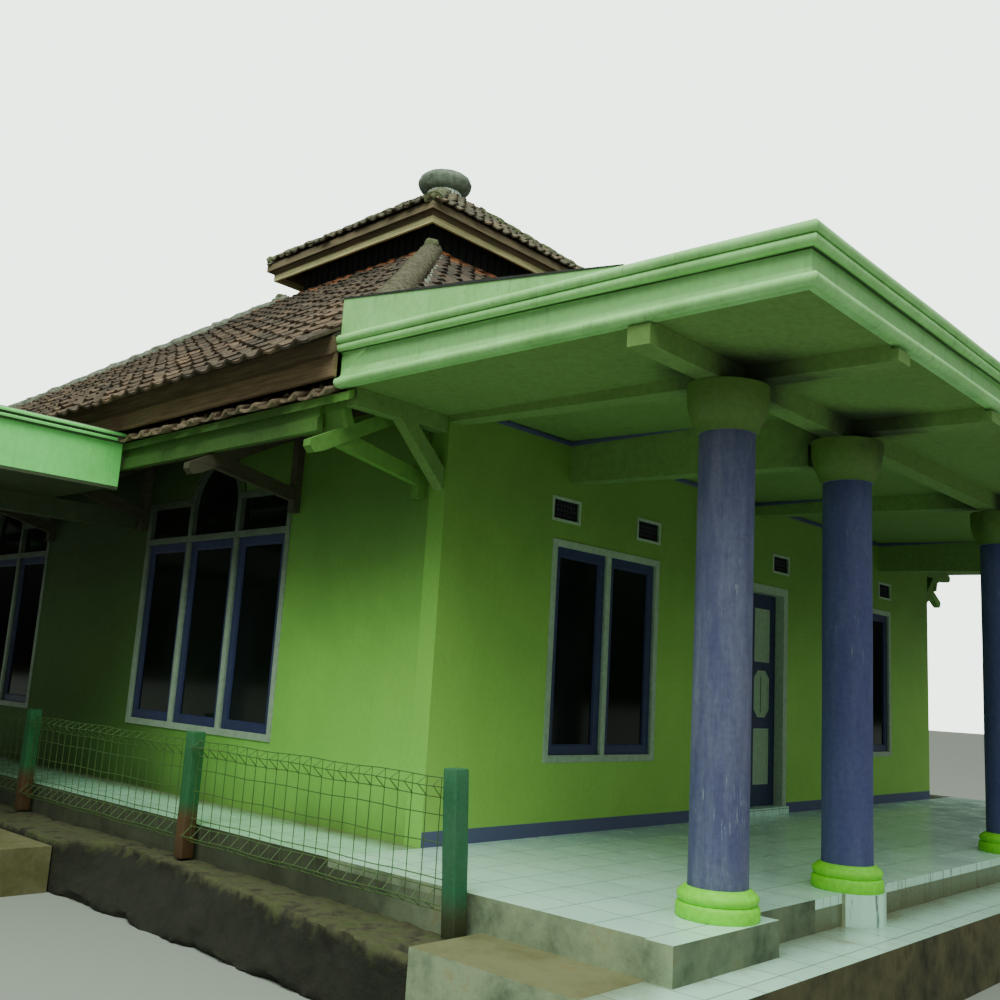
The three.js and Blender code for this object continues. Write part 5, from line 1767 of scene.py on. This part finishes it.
@dataclass(frozen=True)
class Finishes:
    """Every finish of the building, each named for the real material."""

    column_xs: tuple[float, ...] = (0.0, 1.305, MID_X, 6.695, HALL_W)
    lime: int = 0x7ede29
    bell: int = 0x52702b

    def crown(self, height: float) -> tuple[Spot, ...]:
        """Gives the spots over the columns at one height, where the paint darkens as painted shade."""
        return tuple((x, COLUMN_Y, height) for x in self.column_xs)

    def wall(self, **changes: object) -> dict:
        """Gives the settings of the hall's paint, with the changes of one wall."""
        return dict(base=0x8bca56, patch=0x7dbd4d, stain=0x5d7a3a, roughness=0.66, streak=0.20, bump=0.035,
                    wave=340.0, grain=9.0, speckle=0.045) | changes

    def shaft(self, foot: float, head: float, **changes: object) -> dict:
        """Gives the settings of a column's paint, lime up to the foot, dull green above the head, and
        painted shade round its top.
        """
        return dict(patch=0x4c4d80, stain=0x7a7f9b, roughness=0.62, streak=0.08, grain=7.0, bump=0.25,
                    mottle=420.0, shade_spots=self.crown(3.08), shade_reach=0.62,
                    bands=(Band(self.lime, UP, -1.0, foot), Band(self.bell, UP, head, 9.0))) | changes

    def walls(self) -> list[Coating]:
        """Paint on the hall's plaster."""
        return [
            # Brush-painted cement plaster on brick: soft sheen, splashed foot, painted shade under the eaves
            Coating("wall paint", **self.wall(foot=(0.55, 0.95), shade=(1.25, 2.9, 0.36))),
            # The left wall, with painted shade under the eaves, deeper where the canopy shuts it in
            Coating("canopy wall paint", **self.wall(foot=(0.55, 0.95), shade=(1.25, 2.9, 0.34),
                                                     damp=(1.4, 3.8, 0.28))),
            # The same paint with the violet skirting band that runs along the porch floor, and painted shade
            # up high
            Coating("front wall paint", **self.wall(
                base=0x97c959, patch=0x88ba4e, bands=(Band(0x585a80, UP, 0.5, 0.643),),
                shade=(1.5, 3.1, 0.48), ends=0x8bca56)),
        ]

    def porch(self) -> list[Coating]:
        """Paint on the porch, its columns and the canopy."""
        return [
            # Porch ceiling paint, duller than the walls, darker as painted shade, blackest at the column
            # heads
            Coating("soffit paint", 0x6a8b46, 0x62833f, 0x3c4e22, roughness=0.85, shade_spots=self.crown(3.17),
                    shade_reach=0.92, streak=0.35, bump=0.15),
            # Beams in the same paint, darker from handling, damp and painted shade, most at the columns
            Coating("beam paint", 0x6b8c49, 0x638342, 0x364422, roughness=0.85, shade_spots=self.crown(3.17),
                    shade_reach=0.88, streak=0.4, bump=0.2),
            # Pale green gloss on the run mouldings, rain-streaked with grey algae, painted shade on the band
            # between the rolls, and a thin dark line under the upper rolls
            Coating("edge paint", 0x9edb8c, 0x7cb766, 0x4c6341, roughness=0.38, mottle=420.0, streak=0.60,
                    bump=0.3, speckle=0.08, bands=(Band(0x86bf75, EDGE_FALL, 3.356, 3.458, 0.006),
                                                   Band(0x1d2a14, EDGE_FALL, 3.4585, 3.4612))),
            # The canopy in the same gloss, its underside bare and darkened as painted shade
            CanopyPaint("canopy paint", 0x83f483, 0x74dc6f, 0x4f7a48, roughness=0.5, mottle=420.0,
                        streak=0.45, speckle=0.05, bump=0.12),
            # Chalked violet paint on round shafts, lime bases and dull green bells, painted shade round
            # their tops
            Coating("column paint", 0x43457c, scratch=0.22, **self.shaft(0.688, 2.846)),
            # The same on the canopy's thinner posts
            Coating("canopy post paint", 0x43457c, scratch=0.22, **self.shaft(0.409, 2.566)),
            # The same on the outer columns, washed pale by the rain
            Coating("washed column paint", 0x4a4a75, scratch=0.55, **self.shaft(
                0.688, 2.846, patch=0x575779, stain=0x83869c)),
        ]

    def grounds(self) -> list[Coating]:
        """Tiles, cement and masonry underfoot and on the flat roofs."""
        return [
            # White glazed 300 mm floor tiles with dirty joints, raw cement at the porch's corner
            GlazedTiles("floor tiles", 0xc8f0de, 0xc0e8d6, 0x9aa284, streak=0.5, riser_east=0.80,
                        roughness=0.4),
            # The step's tread in the same tiles over raw cement
            GlazedTiles("step tiles", 0xc8f0de, 0xc0e8d6, 0xa8966a, streak=0.7, riser_east=90.0,
                        grime_and_shade=(1, -2.36, -2.08, 0.75), render=(0x2e2c1c, 0x4a462e, 0x5c563b, 0x40371f)),
            # Terrace: tiles on top, raw cement with brown washes partly painted shade on its sides and its
            # low step, lighter as painted light where turned to the left
            GlazedTiles("terrace", 0xb0e2c4, 0xa6d8ba, 0x7f8a68, streak=0.7, tread_low=0.5, riser_east=0.80,
                        riser_low=0.38, damp=(-1.30, 0.1, 0.20), grime_and_shade=(0, -0.16, 0.15, 0.90)),
            # Rubble and render of the retaining wall, brown earth and moss, its face darker as painted shade
            Coating("mossy masonry", 0x5a533b, 0x3b4420, 0x1f1b12, roughness=0.97, mottle=120.0,
                    mottle_share=1.0, bump=1.0, grain=14.0, wave=70.0, streak=0.85,
                    shade=(0.36, 0.27, 0.15)),
            # Bare trowelled floor under the canopy, earth trodden over it
            Coating("canopy concrete", 0x6d6848, 0x57522f, 0x38341f, roughness=0.95, mottle=260.0,
                    mottle_share=1.0, bump=0.6, grain=10.0, wave=120.0, streak=0.6),
            # Light screed on the porch roof
            Coating("roof screed", 0x8b8e7c, 0x74796a, 0x44483a, roughness=0.95, mottle=300.0, bump=0.6,
                    streak=0.6),
            # Bitumen brushed over the kerbs' tops
            Coating("bitumen", 0x1c1e1c, 0x34372f, 0x4c4f45, roughness=0.6, mottle=90.0, bump=0.7),
        ]

    def roofing(self) -> list[Coating]:
        """Clay tiles, timbers, mortar and the finial."""
        return [
            # Old pressed clay tiles, each its own brown, with orange new ones near the top, darker up high
            # as painted shade
            ClayTile("roof tile", 0x4c3c31, 0x664f40, 0x241e19, roughness=0.9, bump=0.5, grain=4.0,
                     renewed_above=6.25, moss=0.32, shade=(3.9, 5.8, 0.55)),
            # Skirt tiles, paler than the roof tiles as painted light under the main eave
            ClayTile("skirt tile", 0x927a68, 0xb0957e, 0x3a3029, roughness=0.9, bump=0.5, grain=4.0,
                     moss=0.45, moss_colour=0xa8a78e),
            # The same tiles high up, grown over with grey lichen
            ClayTile("mossy roof tile", 0x4e4438, 0x625845, 0x24211b, roughness=0.95, bump=0.6, grain=4.0,
                     moss=0.85, moss_colour=0x8b8e76),
            # Roof timbers, boards and the mortar of the hips; the main board's upper part darker as painted
            # shade
            RoofBody("main roof body", 0x3a2e26, 0x2e2620, 0x1b1713, roughness=0.9, grain=8.0, bump=0.6,
                     trim=0x6d5742, trim_top=3.553, strip=0x84694f, strip_top=3.43),
            # The upper roof's timbers, its trim and strip paler than below
            RoofBody("upper roof body", 0x3a2e26, 0x2e2620, 0x1b1713, roughness=0.9, grain=8.0, bump=0.6,
                     half=1.55, eave=6.67, pitch=0.76, trim=0x85735a, trim_top=6.655, strip=0xc9be8c,
                     strip_top=6.525),
            # Green-painted rafters and boards under the side skirts, painted shade below the tiles, painted
            # light at the front
            SkirtTimber("left skirt timber", 0x456828, 0x3b5a24, 0x212d13, roughness=0.7, streak=0.5),
            # The same, mirrored for the right skirt
            SkirtTimber("right skirt timber", 0x456828, 0x3b5a24, 0x212d13, roughness=0.7, streak=0.5,
                        side=1.0),
            # The upper hips, thick with moss and lichen
            Coating("mossy mortar", 0x6c6f52, 0x3f4428, 0x262819, roughness=0.98, mottle=60.0,
                    mottle_share=1.0, bump=1.0, grain=8.0, wave=40.0, streak=0.6),
            # Old ridge tiles of the near hip, mortar smeared over their joints
            Coating("ridge clay", 0x48402f, 0x6d6855, 0x1f1b14, roughness=0.97, mottle=34.0,
                    mottle_share=0.8, bump=1.0, grain=8.0, wave=30.0, streak=0.8,
                    streak_run=Vector((16.0, 16.0, 16.0))),
            # Hip mortar with moss in its hollows
            Coating("mortar", 0x84877a, 0x4a4b3d, 0x2a2b23, roughness=0.97, mottle=60.0, mottle_share=1.0,
                    bump=1.0, grain=8.0, wave=40.0, streak=0.5),
            # Creosoted slats
            Coating("dark slats", 0x1b2022, 0x262c2d, 0x0f0e0c, roughness=0.85, mottle=90.0, streak=0.5,
                    streak_run=Vector((30.0, 30.0, 2.0))),
            # Weathered concrete cap, dark with algae
            Coating("cap concrete", 0x848c80, 0x596254, 0x30352c, roughness=0.95, mottle=110.0,
                    mottle_share=1.0, bump=0.9, grain=9.0, wave=45.0, streak=0.7,
                    streak_run=Vector((26.0, 26.0, 3.0))),
            # Small white tiles round the neck
            GlazedTiles("neck tiles", 0xdff0e2, 0xcfe0d2, 0x6e7c66, size=0.05, joint=0.003, streak=0.6,
                        everywhere=True),
        ]

    def joinery(self) -> list[Coating]:
        """Paint and glass of the windows, the doors, the battens and the vents."""
        return [
            # Gloss paint on hardwood
            Coating("white joinery", 0xa6b8a2, 0x97a892, 0x5f6f58, roughness=0.45, mottle=160.0, streak=0.3,
                    bump=0.12),
            # The same on the side windows, darkened as painted shade up under the eaves
            Coating("eave joinery", 0x9fb09c, 0x8f9f8c, 0x5f6f58, roughness=0.45, mottle=160.0, streak=0.3,
                    bump=0.12, shade=(1.5, 3.15, 0.15)),
            # Green paint on the plaster rim over the arched lights, dark as painted shade under the eaves
            Coating("arch plaster", 0x34491f, 0x2e431b, 0x1f2d12, roughness=0.8, mottle=160.0, streak=0.3),
            # Indigo gloss on the window sashes
            Coating("indigo joinery", 0x343962, 0x2c3056, 0x1c1e38, roughness=0.4, mottle=160.0, streak=0.3,
                    bump=0.12),
            # Flat violet paint on the battens under the porch soffit
            Coating("violet trim", 0x4a4e70, 0x43476a, 0x2b2d40, roughness=0.6, mottle=160.0, streak=0.3),
            # Indigo gloss on the door leaves, pale green on their sunk panels
            Coating("door leaf paint", 0x30355a, 0x292d50, 0x1c1e34, roughness=0.4, streak=0.25, bump=0.12,
                    bands=(Band(0x97b092, DEEP, 0.0905, 0.1105),)),
            # Old float glass, coloured dark as painted shade of the room behind it
            WindowGlass("window glass", 0x10150f, 0x1a211c, 0x232a22, roughness=0.08, streak=0.15),
            # Pierced vent blocks in dark paint
            Coating("vent block", 0x2b2733, 0x221f28, 0x121114, roughness=0.85, mottle=60.0),
        ]

    def fence(self) -> list[Coating]:
        """Coated wire and painted posts."""
        return [
            # Green-coated welded wire, rusting
            Coating("mesh wire", 0x3c6130, 0x55602a, 0x4c3520, roughness=0.6, mottle=60.0, grain=2.0,
                    streak=0.5),
            # Concrete posts in flaking teal paint over grey, rusty feet
            Coating("post paint", 0x186034, 0x66725c, 0x3f4a30, roughness=0.75, mottle=900.0,
                    mottle_share=0.15, chips=0.9, grain=5.0, bump=0.5, streak=0.4,
                    streak_run=Vector((14.0, 14.0, 3.0)), bands=(Band(0x573e24, UP, 0.2, 0.65, 0.05),)),
            # The first post, scuffed to bare grey, its foot green with damp
            Coating("near post paint", 0x18653f, 0x6b7266, 0x3f4a30, roughness=0.75, mottle=300.0,
                    mottle_share=0.30, chips=0.95, grain=5.0, bump=0.5, streak=0.4,
                    streak_run=Vector((12.0, 12.0, 3.0)), bands=(Band(0x3c4226, UP, 0.2, 0.50, 0.06),)),
        ]

    def all(self) -> list[Coating]:
        """Lists the finishes, trade by trade, to be built once each."""
        return [*self.walls(), *self.porch(), *self.grounds(), *self.roofing(), *self.joinery(),
                *self.fence()]


@dataclass
class Studio:
    """Camera at the photograph's place, soft daylight and a plain pale floor."""

    place: Vector = Vector((-4.49144, -4.76333, 1.54561))
    right: Vector = Vector((0.68052563, -0.73034697, 0.05897599))
    up: Vector = Vector((-0.16847847, -0.07763647, 0.98264316))
    forward: Vector = Vector((0.71309177, 0.67865004, 0.17588135))
    lens: float = 37.307
    lamps: tuple[tuple[str, Spot, float, int], ...] = (
        ("sky_left", (-8.0, -4.0, 17.0), 3600.0, 0xecffec),
        ("sky_front", (-4.0, -16.0, 9.0), 300.0, 0xecfff4))
    lamp_size: float = 12.0
    aim: Spot = (3.0, 2.0, 2.0)
    sky_power: float = 1.5
    backdrop_power: float = 4.0
    sky_tone: int = 0xeefaf0
    floor_tone: int = 0x8e908a

    def camera(self) -> None:
        """Stands the camera where the photograph was taken, everything sharp."""
        data = bpy.data.cameras.new("camera")
        data.lens, data.sensor_width, data.clip_end = self.lens, 36.0, 500.0
        data.dof.use_dof = False
        camera = bpy.data.objects.new("camera", data)
        axes = Matrix((self.right, self.up, -self.forward)).transposed().to_4x4()
        camera.matrix_world = Matrix.Translation(self.place) @ axes
        bpy.context.scene.collection.objects.link(camera)
        bpy.context.scene.camera = camera

    def daylight(self) -> None:
        """Hangs wide round lamps that stand for the open sky over the yard."""
        for name, place, power, tone in self.lamps:
            light = bpy.data.lights.new(name, "AREA")
            light.shape, light.size, light.energy = "DISK", self.lamp_size, power
            light.color = linear(tone)[:3]
            lamp = bpy.data.objects.new(name, light)
            lamp.location = place
            lamp.rotation_euler = (Vector(self.aim) - Vector(place)).to_track_quat("-Z", "Y").to_euler()
            bpy.context.scene.collection.objects.link(lamp)

    def sky(self) -> None:
        """Lights the world from above, and shows a plain bright backdrop."""
        world = bpy.data.worlds.new("soft sky")
        world.use_nodes = True
        tree = world.node_tree
        add = partial(add_node, tree)
        way = add("TexCoord").node.outputs["Generated"]
        height = add("SeparateXYZ", Vector=way).node.outputs["Z"]
        sky = add("MapRange.SMOOTHSTEP", Value=height, From_Min=0.0, From_Max=0.95, To_Min=0.0,
                  To_Max=self.sky_power)
        seen = add("LightPath").node.outputs["Is Camera Ray"]
        strength = add("Mix", Factor=seen, A=sky, B=self.backdrop_power)
        backdrop = tree.nodes["Background"]
        backdrop.inputs["Color"].default_value = linear(self.sky_tone)
        tree.links.new(strength, backdrop.inputs["Strength"])
        bpy.context.scene.world = world

    def ground(self) -> None:
        """Lays the studio's floor just under the model."""
        bpy.ops.object.select_all(action="DESELECT")
        bpy.ops.mesh.primitive_plane_add(size=160.0, location=(4.0, 4.0, -0.001))
        floor = settle(bpy.context.active_object)
        floor.name = "studio_floor"
        paper = bpy.data.materials.new("pale floor")
        paper.use_nodes = True
        shader = paper.node_tree.nodes["Principled BSDF"]
        shader.inputs["Base Color"].default_value = linear(self.floor_tone)
        shader.inputs["Roughness"].default_value = 0.95
        floor.data.materials.append(paper)

    def build(self) -> None:
        """Sets up the whole studio."""
        self.camera()
        self.daylight()
        self.sky()
        self.ground()


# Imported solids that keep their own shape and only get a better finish
PLAIN_NODES = {
    "wall paint": ("right_wall", "rear_wall"),
    "canopy wall paint": ("left_wall",),
    "front wall paint": ("front_wall_left", "front_wall_right", "front_wall_upper"),
    "soffit paint": ("porch_slab",),
    "beam paint": ("porch_front_beam", *(f"porch_cross_beam_{i}" for i in range(1, 6)),
                   "corner_bracket_left", "corner_bracket_right"),
    "edge paint": ("porch_kerb_left", "porch_kerb_right"),
    "canopy paint": ("canopy_roof",),
    "roof screed": ("porch_roof_screed",),
    "floor tiles": ("porch_floor", "hall_floor"),
    "step tiles": ("porch_step",),
    "terrace": ("foundation_plinth",),
    "canopy concrete": ("canopy_floor",),
}


def main() -> None:
    """Builds the looks in order."""
    logging.basicConfig(level=logging.INFO, format="%(name)s %(message)s")
    noise.seed_set(NOISE_SEED)
    Studio().build()
    shop = Workshop({finish.name: finish.build() for finish in Finishes().all()})
    for finish, nodes in PLAIN_NODES.items():
        shop.finish_node(finish, *nodes)
    for part in (Columns, EdgeMouldings, Windows, Doorway, WallTrims, RetainingWall, Fence, Roofs):
        part(shop).build()
    log.info("%d new pieces", shop.pieces)
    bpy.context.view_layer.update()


if __name__ == "__main__":
    main()
